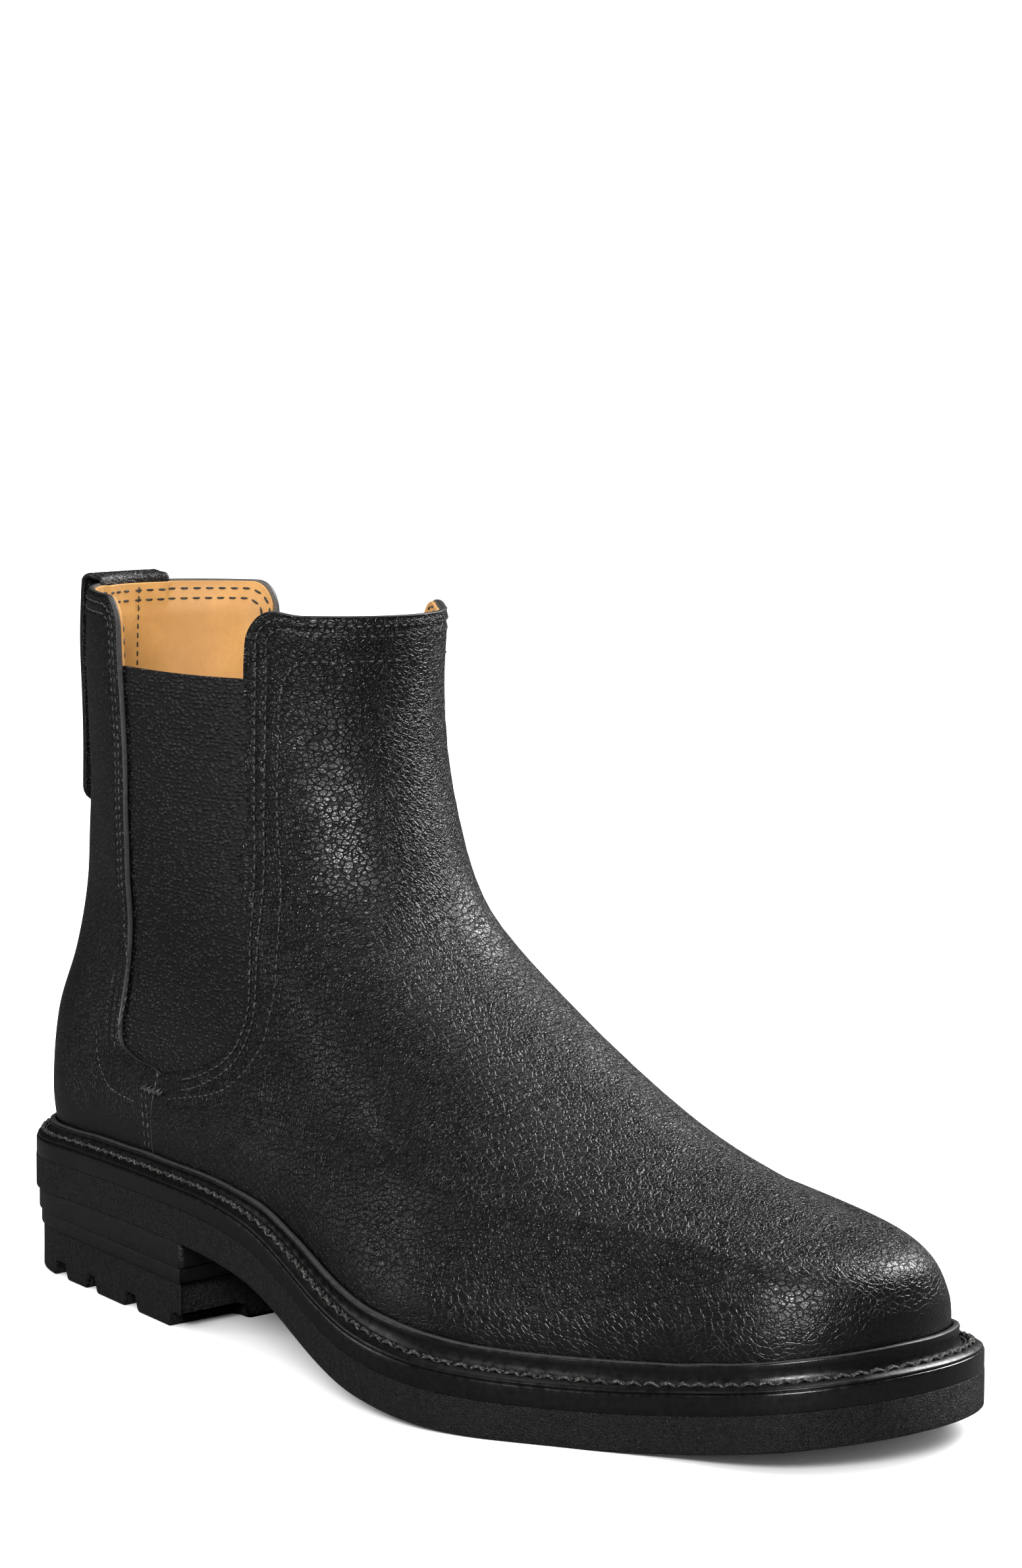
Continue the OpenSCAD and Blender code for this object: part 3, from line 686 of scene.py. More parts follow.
def rubber(name, colour, roughness, wrinkle, pit):
    """Rubber with fine upright wrinkles."""
    look = Look(name, colour, roughness)
    upright = look.bend(look.place((1, 1, 0.35)), 0.6, 1.6)
    space = look.place()
    look.bump(look.noise(upright, 1.1, 4, 0.6), wrinkle, 0.9)
    look.bump(look.remap(look.cells(look.bend(space, 1.5, 0.8), 1.7), 0.0, 0.3), pit, 0.7)
    look.bump(look.noise(space, 9, 2), 0.03, 0.5)
    bloom = look.remap(look.noise(space, 0.35, 5), 0.35, 0.7)
    look.colour(look.mix(bloom, colour, tuple(c * 1.5 for c in colour)))
    look.roughness(look.remap(look.noise(space, 1.4, 3), 0.3, 0.7, roughness - 0.08, roughness + 0.08))
    return look.material


def elastic_weave(name):
    """Coarse elastic webbing: rows of small yarn knots, with painted highlight on their tops and painted shade
    in the gaps.
    """
    look = Look(name, (0.004, 0.004, 0.004), 0.5)
    web = look.bend(look.place((1, 1, 1), uv=True), 0.5, 0.7)
    knots = look.cells(look.vector("MULTIPLY", web, (0.6, 0.95, 1)), 1.0, "F1", 0.75)
    raised = look.remap(knots, 0.6, 0.1)
    look.bump(raised, 0.9)
    look.bump(look.noise(look.place((1, 1, 1)), 5, 3, 0.7), 0.12, 0.8)
    fuzz = look.noise(look.place((1, 1, 1)), 3.5, 4, 0.7)
    # Painted highlight on the knots' tops and painted shade in the gaps between them, broken up by noise.
    knot_highlight = look.math("MULTIPLY", raised, look.remap(fuzz, 0.3, 0.75, 0.3, 1.0))
    look.colour(look.mix(knot_highlight, (0.0002, 0.0002, 0.0002), (0.022, 0.022, 0.0225)))
    return look.material


def thread_look(name, colour, light):
    """Twisted thread, with lighter strands."""
    look = Look(name, colour, 0.6)
    space = look.place()
    look.bump(look.twist(look.bend(space, 2, 0.3), 1.3), 0.1, 0.8)
    look.colour(look.mix(look.remap(look.noise(space, 1.6, 4, 0.7), 0.45, 0.75), colour, light))
    return look.material


def fibrous(name, colour, second, roughness, scale, depth):
    """Canvas, cork, stiffener and other plain inner stuff, with flecks and bumps."""
    look = Look(name, colour, roughness)
    space = look.bend(look.place(), 0.8, 0.6)
    flecks = look.cells(space, scale, "F1")
    look.bump(look.noise(space, scale * 2, 4, 0.7), depth, 0.8)
    look.bump(flecks, depth, 0.6)
    look.colour(look.mix(look.remap(flecks, 0.15, 0.7), colour, second))
    return look.material


def steel(name, colour, roughness):
    """Brushed along its length."""
    look = Look(name, colour, roughness, Metallic=1.0)
    brushed = look.noise(look.place((3, 0.12, 3)), 1.2, 4)
    look.bump(brushed, 0.04, 0.6)
    look.roughness(look.remap(brushed, 0.3, 0.7, roughness - 0.08, roughness + 0.12))
    return look.material


LOOKS = {name: maker(name, *values) for name, maker, *values in [
    ("grain_leather", grain_leather, 1.8, 0.4, 0.29),
    ("strap_leather", grain_leather, 1.3, 0.35, 0.36),
    ("cut_edge", smooth_leather, (0.026, 0.025, 0.025), 0.5),
    ("flesh_side", fibrous, (0.05, 0.045, 0.04), (0.09, 0.08, 0.07), 0.9, 2.0, 0.1),
    ("lining_leather", tan_leather, (0.44, 0.225, 0.058), (0.34, 0.165, 0.038), 0.5),
    ("insole_leather", tan_leather, (0.56, 0.3, 0.1), (0.45, 0.22, 0.06), 0.55),
    ("welt_leather", smooth_leather, (0.0018, 0.0018, 0.0018), 0.32),
    ("edge_dressing", smooth_leather, (0.0018, 0.0018, 0.0018), 0.26),
    ("textured_rubber", rubber, (0.0024, 0.0024, 0.0024), 0.5, 3.0, 1.0),
    ("smooth_rubber", rubber, (0.0016, 0.0016, 0.0016), 0.4, 0.12, 0.04),
    ("elastic", elastic_weave),
    ("upper_thread", thread_look, (0.012, 0.012, 0.012), (0.09, 0.09, 0.09)),
    ("waxed_thread", thread_look, (0.006, 0.006, 0.006), (0.12, 0.115, 0.105)),
    ("canvas_rib", fibrous, (0.62, 0.56, 0.42), (0.5, 0.44, 0.31), 0.9, 1.2, 0.2),
    ("cork", fibrous, (0.42, 0.26, 0.13), (0.2, 0.11, 0.05), 0.85, 0.5, 0.3),
    ("stiffener", fibrous, (0.7, 0.66, 0.56), (0.6, 0.55, 0.45), 0.8, 1.5, 0.1),
    ("stay_tape", fibrous, (0.05, 0.05, 0.05), (0.09, 0.09, 0.09), 0.8, 1.6, 0.1),
    ("shank_steel", steel, (0.5, 0.51, 0.53), 0.35),
    ("nail_steel", steel, (0.55, 0.55, 0.53), 0.4),
]}


def look(*names):
    return [LOOKS[n] for n in names]


# Where a piece starts to follow the shaft's back, and where it follows it fully: the back panel bends
# upwards, and an elastic stretches from its middle to its upper rear edge
STRETCH_LOW, STRETCH_HIGH = (50, BEND_LOW), (33.7, BEND_LOW + 11.5)  # side view (f, z)
BLENDS = {
    "bend": ((0, 0, BEND_LOW), (0, 0, BEND_HIGH)),
    "stretch": tuple((0, BOOT_LENGTH / 2 - f, z) for f, z in (STRETCH_LOW, STRETCH_HIGH)),
}


def finish_piece(obj, slot, *nodes, body="boot"):
    """Hides the nodes a piece replaces and hangs the piece from its body's empty; pieces of the bend and
    stretch bodies only have their transform baked. slot is not used.
    """
    if nodes:
        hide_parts(*nodes)
    if body in BLENDS:
        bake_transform(obj)
    else:
        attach(obj, body)
    return obj


# ---- front of the upper ----------------------------------------------------------------------------

# Distances of the grid lines from a panel's side edge and from the collar, close round the stitch rows
EDGE_STEPS = np.array([
    0, 0.12, 0.35, 0.7, 1.1, 1.5, 1.9, 2.3, 2.7, 3.1, 3.6, 4.1, 4.5, 4.9, 5.3, 5.8, 6.6, 7.8])
TOP_STEPS = np.concatenate([EDGE_STEPS, [9, 10.5, 12, 13.5, 15, 17, 19, 21.5]])


def front_turn(v):
    """Angle of the front panel's outer edge on the line at v."""
    edge = np.array(FRONT_EDGE, float)
    at = v_at(edge[:, 0], edge[:, 1])
    return np.interp(v, at, th_at(edge[:, 0], at))


def front_dip(side_run):
    """The front panel's collar lies a little lower than the back's once past its corners."""
    return 1.7 * step(2, 16, side_run)


def front_panel(rows, cols, shift=0.0, top=0.0, low=0.002):
    """Addresses over the front panel, closer along its edges; shift and top keep it back from them."""
    share = np.linspace(0, 1, cols)
    rise = np.linspace(low, 1, rows)
    for _ in range(2):
        a = front_turn(rise)
        girth = np.linalg.norm(skin_steps(a, rise)[0], axis=-1)
        inner = a + (EDGE_STEPS[-1] + shift) / girth
        left = a[:, None] + (EDGE_STEPS + shift)[None] / girth[:, None]
        middle = inner[:, None] + (TURN - 2 * inner)[:, None] * share[None, 1:-1]
        th = np.hstack([left, middle, TURN - left[:, ::-1]])
    th_top = th[-1]
    lift = np.linalg.norm(skin_steps(th_top, np.ones_like(th_top))[1], axis=-1)
    v_low = 1 - (TOP_STEPS[-1] + top) / lift
    q = np.linspace(0, 1, rows)[:-1]
    v_body = low + (v_low[None] - low) * q[:, None]
    v_cap = 1 - (TOP_STEPS[::-1, None] + top) / lift[None]
    v = np.vstack([v_body, v_cap])
    a = front_turn(v)
    girth = np.linalg.norm(skin_steps(a, v)[0], axis=-1)
    steps = (EDGE_STEPS + shift)[None]
    n = len(EDGE_STEPS)
    th = np.empty_like(v)
    th[:, :n] = a[:, :n] + steps / girth[:, :n]
    th[:, -n:] = TURN - (a[:, -n:] + steps[:, ::-1] / girth[:, -n:])
    inner = th[:, n - 1:n]
    th[:, n:-n] = inner + (th[:, -n:-n + 1] - inner) * share[None, 1:-1]
    side_run = np.minimum(th - a, TURN - a - th) * girth
    drop = (corner_drop(side_run) + front_dip(side_run)) * step(0.82, 0.93, v)
    return th, v - drop / lift[None]


def side_view(th, v):
    """Side view (f, z) of surface points."""
    p = skin(th, v)
    return to_f(p[..., 1]), p[..., 2]


def edge_distance(th, v, curve):
    """Distance to a panel's free edge: its curve in side view, or the collar above."""
    f, z = side_view(th, v)
    return np.minimum(distance_to(curve, f, z), COLLAR - z)


def leather_relief(d):
    """Depth of the leather's face: rounded edge, and grooves under the stitch rows."""
    edge = 0.6 * np.clip(1 - d / 1.3, 0, 1) ** 2
    rows = sum(0.3 * bell(d, r, 0.6) for r in STITCH_ROWS)
    return edge + rows


def creases(th, v):
    """Slow waves, and short level creases across the front of the ankle."""
    p = skin(th, v)
    run, z = (th - math.pi) * 40, p[..., 2]
    front = step(0.6, 0.25, np.abs(th - math.pi) / math.pi)
    ankle = front * step(88, 104, z) * step(172, 150, z)
    fine = np.abs(value_noise(run / 9 + value_noise(run / 14, z / 6, 5) * 0.6, z / 1.7, 1))
    instep = front * step(60, 72, z) * step(120, 100, z)
    flex = np.abs(value_noise(run / 12, to_f(p[..., 1]) / 2.6, 4)) * instep
    slow = value_noise(run / 22, z / 26, 2) * 0.1
    return slow + 0.16 * ankle * (1 - fine) ** 3 + 0.1 * (1 - flex) ** 4 * instep


def grain_amount(th, v):
    """How strongly the leather's grain shows: less close to the sole and at the heel."""
    f, z = side_view(th, v)
    above = z - sole_top(f)
    return (0.3 + 0.7 * step(4, 34, above)) * (0.6 + 0.4 * step(40, 95, f))


def upper_leather(name, th, v, out):
    """A sheet of the upper: grained outside, with cut edges and a plain inner face."""
    return shell(name, th, v, out, LEATHER_T, look("grain_leather", "cut_edge", "flesh_side"),
                 grain=grain_amount(th, v), edge_slot=1, inner_slot=2)


def build_vamp():
    th, v = front_panel(130, 230)
    f, z = side_view(th, v)
    d = edge_distance(th, v, FRONT_FREE)
    out = leather_relief(d) + creases(th, v) * step(0, 10, d) * step(0, 12, z - sole_top(f))
    finish_piece(upper_leather("vamp_leather", th, v, out), "grain_leather", "vamp")


def lining_depth(d):
    """The lining closes on the leather along the free edges."""
    return LEATHER_T + 0.12 + (LINING_OUT - LEATHER_T - 0.12) * step(0.5, 9, d)


def back_lining_depth(d, x):
    """The same at the back, where the pull strap's inner leg lies between lining and leather."""
    strap = step(STRAP_HALF + 2.6, STRAP_HALF + 0.2, np.abs(x - MID_X))
    return np.maximum(lining_depth(d), 3.45 * strap)


def lining_margin(z, edge):
    """Distance to the lining's sewn edge: the collar, and the gore's edge above the elastic."""
    return np.minimum(np.where(z > ELASTIC_TOP - 2, edge, 99), COLLAR - z)


def build_front_lining():
    th, v = front_panel(90, 110, shift=0.5, top=0.5, low=0.005)
    z = side_view(th, v)[1]
    open_edge = FRONT_FREE[FRONT_FREE[:, 1] > ELASTIC_TOP + 1]
    near = lining_margin(z, edge_distance(th, v, open_edge))
    out = lining_depth(near)
    slack = 0.12 * value_noise(th * 9, z / 13, 8) * step(8, 20, near)
    out = out + slack
    obj = shell("front_lining_leather", th, v, out, out + LINING_T, look("lining_leather"))
    finish_piece(obj, "lining_leather", "front_lining")


# ---- back of the upper -----------------------------------------------------------------------------


def rear_panel(rows, cols, shift=0.0, top=0.0, seam=0.3):
    """Addresses over the back panel, from the feather line to the collar."""
    bands = ((0, 0.16, rows // 6), (0.16, 0.3, rows // 4), (0.3, 0.86, rows // 2))
    share = np.concatenate([np.linspace(a, b, count, endpoint=False) for a, b, count in bands])
    z_seam = sole_top(SEAM_F) + 0.3
    z_body = z_seam + share * (COLLAR - z_seam)
    z_rows = np.concatenate([z_body, COLLAR - (TOP_STEPS[::-1] + top)])
    z_rows = z_rows[np.concatenate([[True], np.diff(z_rows) > 0.02])]
    f_back = ends(v_at(0 * z_rows, z_rows))[0]
    q = np.linspace(0, 1, cols)
    sides = []
    for side in (-1, 1):
        f_edge = np.interp(z_rows, *spline_edge(REAR_EDGES[side])) - seam
        sides.append(half_panel(z_rows, f_edge, f_back, q, shift, side))
    return tuple(np.hstack([a[:, :0:-1], b]) for a, b in zip(*sides))


SIDE_SLANT = 0.72  # side view length of a millimetre measured round the back panel near its edge


def half_panel(z_rows, f_edge, f_back, q, shift, side):
    """Addresses from the middle of the back to one free edge."""
    run = (f_edge - f_back)[:, None] * (1 - np.cos(math.pi / 2 * q))[None]
    near = f_edge[:, None] - f_back[:, None] - SIDE_SLANT * (EDGE_STEPS[::-1] + shift)[None]
    keep = run[:, :-1] / run[:, -1:] * near[:, :1]
    f = f_back[:, None] + np.hstack([keep, near])
    z = np.broadcast_to(z_rows[:, None], f.shape).copy()
    lean = step(62, 36, z_rows)[:, None] * (sole_top(f) - sole_top(SEAM_F))
    z = z + lean
    away = (f_edge[:, None] - f) / SIDE_SLANT
    z = z - corner_drop(away) * step(COLLAR - 26, COLLAR - 12, z)
    return address(f, z, side)


def rear_distance(th, v, low=0.0):
    """Distance to the back panel's free edge on the side of each point."""
    both = [edge_distance(th, v, REAR_FREES[side][REAR_FREES[side][:, 1] > low]) for side in (1, -1)]
    return np.where(th >= 0, both[0], both[1])


def spline_edge(edge):
    """Heights and f of an edge, smooth, with steadily rising heights."""
    p = spline(edge, 0.4)
    z = np.maximum.accumulate(p[:, 1]) + np.arange(len(p)) * 1e-4
    return z, p[:, 0]


def build_rear_leather():
    th, v = rear_panel(150, 46)
    z = side_view(th, v)[1]
    d = rear_distance(th, v)
    out = leather_relief(d) + 0.15 * value_noise(th * 6, z / 20, 3) * step(0, 10, d)
    obj = upper_leather("rear_leather", th, v, out)
    finish_piece(obj, "grain_leather", "rear_quarter_lower", "rear_quarter_upper", body="bend")


def build_rear_lining():
    th, v = rear_panel(100, 56, shift=0.5, top=0.5, seam=1.0)
    z = side_view(th, v)[1]
    near = lining_margin(z, rear_distance(th, v, ELASTIC_TOP + 1))
    slack = 0.12 * value_noise(th * 9, z / 13, 9) * step(8, 20, near)
    out = back_lining_depth(near, skin(th, v)[..., 0]) + slack
    obj = shell("rear_lining_leather", th, v, out, out + LINING_T, look("lining_leather"))
    finish_piece(obj, "lining_leather", "rear_lining_lower", "rear_lining_upper", body="bend")


KNOT_W, KNOT_H = 1.9, 1.15


def weave_relief(run, rise, side):
    """Height of the webbing's knots, and of the ribbed band along its top."""
    col, row = run / KNOT_W + 0.5 * np.mod(np.floor(rise / KNOT_H), 2), rise / KNOT_H
    knot = np.abs(np.sin(math.pi * col)) * np.abs(np.sin(math.pi * row))
    uneven = 0.6 + 0.4 * hash_noise(np.floor(col), np.floor(row), side)
    band = step(ELASTIC_TOP - 3.6, ELASTIC_TOP - 3.2, rise)
    ribs = 0.5 + 0.5 * np.cos(TURN * run / 1.1)
    return 0.4 * knot * uneven * (1 - band) + 0.22 * ribs * band


def build_gore(side, node):
    """Elastic under the leather's edges, with a firm edge along its top."""
    under, band_z = 5.5, ELASTIC_TOP - 4
    z = np.concatenate([np.linspace(57.5, band_z, 260, endpoint=False), np.linspace(band_z, ELASTIC_TOP, 16)])
    rear = np.interp(z + under, *spline_edge(REAR_EDGES[side])) - 5
    front = np.interp(z + under, *spline_edge(FRONT_EDGE)) + 5
    f = rear[:, None] + (front - rear)[:, None] * np.linspace(0, 1, 130)[None]
    th, v = address(f, np.broadcast_to(z[:, None], f.shape), side)
    p = skin(th, v)
    run = np.cumsum(np.linalg.norm(np.diff(p, axis=1, prepend=p[:, :1]), axis=-1), axis=1)
    rise = z[:, None] + 0 * run
    out = ELASTIC_OUT + 0.15 - weave_relief(run, rise, side)
    if side < 0:
        th, v, out, run, rise = (a[:, ::-1] for a in (th, v, out, run, rise))
    obj = shell(node + "_webbing", th, v, out, ELASTIC_IN, look("elastic"), uv=np.stack([run, rise], -1))
    finish_piece(obj, "elastic", node, body="stretch")


def build_tapes():
    """Thin stay tapes between leather and lining under the collar."""
    turns = {"front_topline_tape": [(132, 228)], "rear_topline_tape": [(19, 52), (-52, -19)]}
    for node, spans in turns.items():
        for index, (a, b) in enumerate(spans):
            th = np.broadcast_to(np.radians(np.linspace(a, b, 40)), (6, 40))
            v = np.broadcast_to(np.linspace(0.94, 0.98, 6)[:, None], (6, 40))
            obj = shell(f"{node}_{index}", th, v, LEATHER_T + 0.02, LEATHER_T + 0.08, look("stay_tape"))
            body = "boot" if node.startswith("front") else "shaft_back"
            finish_piece(obj, "stay_tape", node, body=body)


# ---- stitches --------------------------------------------------------------------------------------

COLLAR_BACK_R = 35.0
STITCH, LINING_STITCH = 2.4, 3.4
BACK_Y = 90.0  # the collar's points beyond it are the back panel's


def front_path(d, start_z=64.0):
    """Path at distance d inside the front panel's free edge, from one gore over the collar to the other."""
    edge = FRONT_FREE[FRONT_FREE[:, 1] > start_z]
    curve = offset(edge, -d)
    corner = curve[curve[:, 0] < edge_f(FRONT_EDGE, COLLAR - CORNER_R) + CORNER_R + 2]
    th, v = address(corner[:, 0], corner[:, 1], 1)
    across = np.linspace(th[-1], TURN - th[-1], 60)[1:-1]
    along, up = (np.linalg.norm(p, axis=-1) for p in skin_steps(across, np.ones_like(across)))
    side_run = CORNER_R + np.minimum(across - across[0], across[-1] - across) * along
    th = np.concatenate([th, across, TURN - th[::-1]])
    v = np.concatenate([v, 1 - (d + front_dip(side_run)) / up, v[::-1]])
    return th, v


def rear_path(d, side, last_x, start_z=66.0):
    """Path at distance d inside the back panel's edge: up the gore, round the corner, along the collar."""
    edge = REAR_FREES[side][REAR_FREES[side][:, 1] > start_z]
    squeeze = np.array([0.78, 1.0])  # the side slants to the side view, so the row looks nearer the edge
    curve = offset(edge * (1 / squeeze), d) * squeeze
    keep = curve[:, 0] > edge_f(REAR_EDGES[side], COLLAR - CORNER_R) - CORNER_R - 1
    th, v = address(curve[keep, 0], curve[keep, 1], side)
    across = side * np.linspace(abs(th[-1]), math.asin(last_x / COLLAR_BACK_R), 60)[1:]
    lift = np.linalg.norm(skin_steps(across, np.ones_like(across))[1], axis=-1)
    return np.concatenate([th, across]), np.concatenate([v, 1 - d / lift])


def third_front_row():
    """The row of the lining's seam: well inside the edge, dying out towards the sole."""
    seam_z = 170.2
    curve = spline([
        (80, 56), (104, 62), (117, 73.5), (121, 82), (123, 95.5),
        (116, 130), (114, 154), (114.5, 164), (118, 169.5), (126, seam_z)])
    th, v = address(curve[:, 0], curve[:, 1], 1)
    across = np.linspace(th[-1], TURN - th[-1], 50)[1:-1]
    lift = np.linalg.norm(skin_steps(across, np.ones_like(across))[1], axis=-1)
    low = 1 - (COLLAR - seam_z) / lift
    return np.concatenate([th, across, TURN - th[::-1]]), np.concatenate([v, low, v[::-1]])


def sewn(points, side):
    """A short row through side view points."""
    curve = spline(points)
    return stitches(*address(curve[:, 0], curve[:, 1], side), 0.05, STITCH, radius=0.24)


def back_seam():
    """The seam up the middle of the back, seen on the lining."""
    heights = np.linspace(COLLAR - 1, 150, 60)
    seam = v_at(np.full(60, ends(1.0)[0] + 0.3), heights)
    depth = back_lining_depth(9, MID_X) + LINING_T
    return stitches(np.full(60, -0.07), seam, depth, 2.5, radius=0.24)


def build_upper_stitches():
    front, rear = [], []
    for d in STITCH_ROWS:
        th, v = front_path(d)
        front += stitches(th, v, 0.1, STITCH)
        front += lining_stitches(th, v, d)
        for side in (1, -1):
            rear += stitches(*rear_path(d, side, STRAP_HALF + 0.6), 0.1, STITCH)
            rear += lining_stitches(*rear_path(d, side, 0.5), d)
    front += stitches(*third_front_row(), 0.05, STITCH, radius=0.24)
    rear += back_seam()
    for side in (1, -1):
        rear += sewn([(39, 68), (42, 61), (47, 56.5), (53, 54), (65, 53)], side)
        for shift in (0, 2.2):
            rear += sewn([(69.5 - shift, 56), (72 - shift, 50), (73 - shift, 42)], side)
    gather("front_stitches", front, "upper_thread", "front_panel_thread")
    gather("rear_stitches", rear, "upper_thread", "rear_panel_thread", body="bend")


def lining_stitches(th, v, d):
    """The row d millimetres from the edge as it shows on the lining, above the elastic."""
    x, y, z = skin(th, v).T
    keep = z > ELASTIC_TOP + 1
    starts = np.flatnonzero(np.diff(np.concatenate([[0], keep.astype(int), [0]])))
    made = []
    for a, b in zip(starts[::2], starts[1::2]):
        if b - a > 4:
            part = slice(a, b)
            level = np.where(y[part] > BACK_Y, back_lining_depth(d, x[part]), lining_depth(d)) + LINING_T
            made += stitches(th[part], v[part], level, LINING_STITCH, radius=0.3)
    return made


def build_bar_tack(side, node):
    """A short bar of close stitches over the foot of the gore."""
    middle_f, middle_z = 72.3, 56.9
    made = []
    for i in range(13):
        q = (i - 6) / 6
        f, z = middle_f + 4.6 * q, middle_z + 0.35 * math.sin(i * 2.1)
        a, b = address(np.array([f - 0.35, f, f + 0.35]), np.array([z - 0.85, z, z + 0.85]), side)
        made.append(tube(skin_at(a, b, np.array([0.1, -0.45, 0.1])), 0.34, skin_normal(a, b)))
    a, b = address(np.linspace(67.6, 77.2, 7), np.full(7, middle_z), side)
    made.append(tube(skin_at(a, b, np.full(7, -0.2)), 0.45, skin_normal(a, b)))
    gather(node + "_stitches", made, "upper_thread", node)


# ---- pull strap ------------------------------------------------------------------------------------

STRAP_STIFF = 0.9  # how little the outer leg and loop bend round the back
STRAP_BEND_R = 38.0
STRAP_EDGE = [0.76, 0.82, 0.88, 0.93, 0.975, 1]
STRAP_ACROSS = np.concatenate([-np.array(STRAP_EDGE[::-1]), np.linspace(-0.7, 0.7, 19), STRAP_EDGE])
STRAP_SEAM = 0.81


def strap_line():
    """Rows up the outer leg, over the loop and down inside: depth below the leather, height, thickness."""
    legs = np.linspace(STRAP_END, COLLAR - 2, 44), np.linspace(COLLAR - 2, STRAP_IN_END, 26)
    up = [(-1.6 - 1.2 * step(COLLAR - 45, COLLAR - 6, z), z, 1.5) for z in legs[0]]
    turn = np.linspace(0.12, math.pi - 0.12, 22)
    rise = 2.0
    over = [(0.1 - 2.8 * math.cos(a), COLLAR - 0.2 + rise * math.sin(a) ** 0.8, 1.5 - 0.25 * a / math.pi)
            for a in turn]
    down = [(2.75 + 0.1 * step(COLLAR, COLLAR - 8, z), z, 1.05) for z in legs[1]]
    return np.array(up + over + down)


def strap_middle(line, run):
    """Middle surface of the strap, a row of points for each point of its line."""
    end = np.minimum(run, run[-1] - run)
    half = STRAP_HALF * np.sqrt(np.clip(1 - np.clip(1 - (end + 0.4) / 6, 0, 1) ** 2.2, 0.02, 1))
    x = half[:, None] * STRAP_ACROSS[None]
    z = line[:, 1][:, None] + 0 * x
    v = v_at(0 * z, np.minimum(z, COLLAR))
    th = np.arcsin(x / STRAP_BEND_R)
    spine, wrapped = skin(0 * th, v), skin(th, v)
    stiff = np.where(line[:, 0] < 2, STRAP_STIFF, 0.0)[:, None]
    y = spine[..., 1] * stiff + wrapped[..., 1] * (1 - stiff) - line[:, 0][:, None]
    return np.stack([MID_X - x, y, z], -1)


def strap_mesh(outer, inner):
    m, n, _ = outer.shape
    border = rim(m, n)
    points = np.vstack([outer.reshape(-1, 3), inner.reshape(-1, 3)])
    walls = strip(border, border + m * n)
    faces = np.vstack([grid_faces(m, n), grid_faces(m, n, m * n, flip=True), walls])
    slots = np.concatenate([np.zeros(2 * (m - 1) * (n - 1)), np.ones(len(walls))])
    materials = look("strap_leather", "welt_leather")
    return mesh("pull_strap", points, faces, materials, slots, grain=np.full(len(points), 0.6))


def strap_stitches(outer, rows, face):
    """A row of stitches up each side of the outer leg, over the given rows of the strap's face."""
    bow = np.array([-0.15, 0.1, 0.14, 0.1, -0.15])[:, None]
    made = []
    for column in (-STRAP_SEAM, STRAP_SEAM):
        j = int(np.argmin(np.abs(STRAP_ACROSS - column)))
        path, up = evenly(outer[rows, j], 0.4), face[rows[0], j]
        for i in range(0, len(path) - 6, 6):
            made.append(tube(path[i:i + 5] + up * bow, 0.2, np.tile(up, (5, 1))))
    return made


def build_strap():
    line = strap_line()
    run = run_along(line[:, :2])
    centre = strap_middle(line, run)
    along = unit(np.gradient(centre, axis=0))
    across = unit(np.gradient(centre, axis=1))
    face = unit(np.cross(across, along))
    edge = (1 - np.abs(STRAP_ACROSS)) * STRAP_HALF
    groove = 0.18 * bell(edge, 2.1, 0.45) + 0.3 * np.clip(1 - edge / 0.8, 0, 1) ** 2
    back = 0.12 * np.clip(1 - edge / 0.8, 0, 1)
    thick = line[:, 2][:, None]
    outer = centre + face * (thick / 2 - groove[None])[..., None]
    inner = centre - face * (thick / 2 - back[None])[..., None]
    obj = strap_mesh(outer, inner)
    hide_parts("strap_outer_leg", "strap_inner_leg", "pull_loop")
    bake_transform(obj)
    leg = (run > 3) & (line[:, 1] < COLLAR - 1) & (line[:, 0] < 0)
    made = strap_stitches(outer, np.flatnonzero(leg), face)
    gather("strap_stitches", made, "upper_thread", body="shaft_back")


# ---- sole ------------------------------------------------------------------------------------------


def ladder(rows, cols, th_end, inset, breast):
    """Plan grid of a sole layer: rungs across it from the back of the heel to th_end, or to the breast."""
    th = np.linspace(0.02, th_end, rows)
    left, right = sole_in(th, np.full(rows, float(inset))), sole_in(-th, np.full(rows, float(inset)))
    if breast:
        left[-1, 1] += inset
        right[-1, 1] += inset
    q = (1 - np.cos(np.linspace(0, math.pi, cols))) / 2 * 0.25 + np.linspace(0, 1, cols) * 0.75
    return left[:, None] * (1 - q)[None, :, None] + right[:, None] * q[None, :, None]


def slab(name, slot, node, low, high, profile, th_end, rows, cols, breast=False):
    """A sole layer between two height fields; profile lists (inset, height share) up its edge."""
    grids = [ladder(rows, cols, th_end, d, breast) for d, _ in profile]
    bottom = np.dstack([grids[0], low(grids[0])])
    top = np.dstack([grids[-1], high(grids[-1])])
    border = rim(rows, cols)
    points, loops = [bottom.reshape(-1, 3), top.reshape(-1, 3)], [border]
    count = len(border)
    for k, (grid, (_, share)) in enumerate(zip(grids[1:-1], profile[1:-1])):
        xy = grid.reshape(-1, 2)[border]
        z = low(xy) * (1 - share) + high(xy) * share
        points.append(np.column_stack([xy, z]))
        loops.append(2 * rows * cols + k * count + np.arange(count))
    loops.append(border + rows * cols)
    walls = np.vstack([strip(b, a) for a, b in zip(loops, loops[1:])])
    faces = np.vstack([grid_faces(rows, cols), grid_faces(rows, cols, rows * cols, flip=True), walls])
    finish_piece(mesh(name, np.vstack(points), faces[:, ::-1], look(slot)), slot, node)


def edge_profile(inset, r, t, thick):
    """Straight edge with a lower arris of radius r and an upper one of radius t."""
    turn = np.linspace(0, math.pi / 2, 4)
    low = [(inset + r * (1 - math.sin(a)), r * (1 - math.cos(a)) / thick) for a in turn]
    high = [(inset + t * (1 - math.cos(a)), 1 - t * (1 - math.sin(a)) / thick) for a in turn]
    return low + [(inset, 0.35), (inset, 0.65)] + high


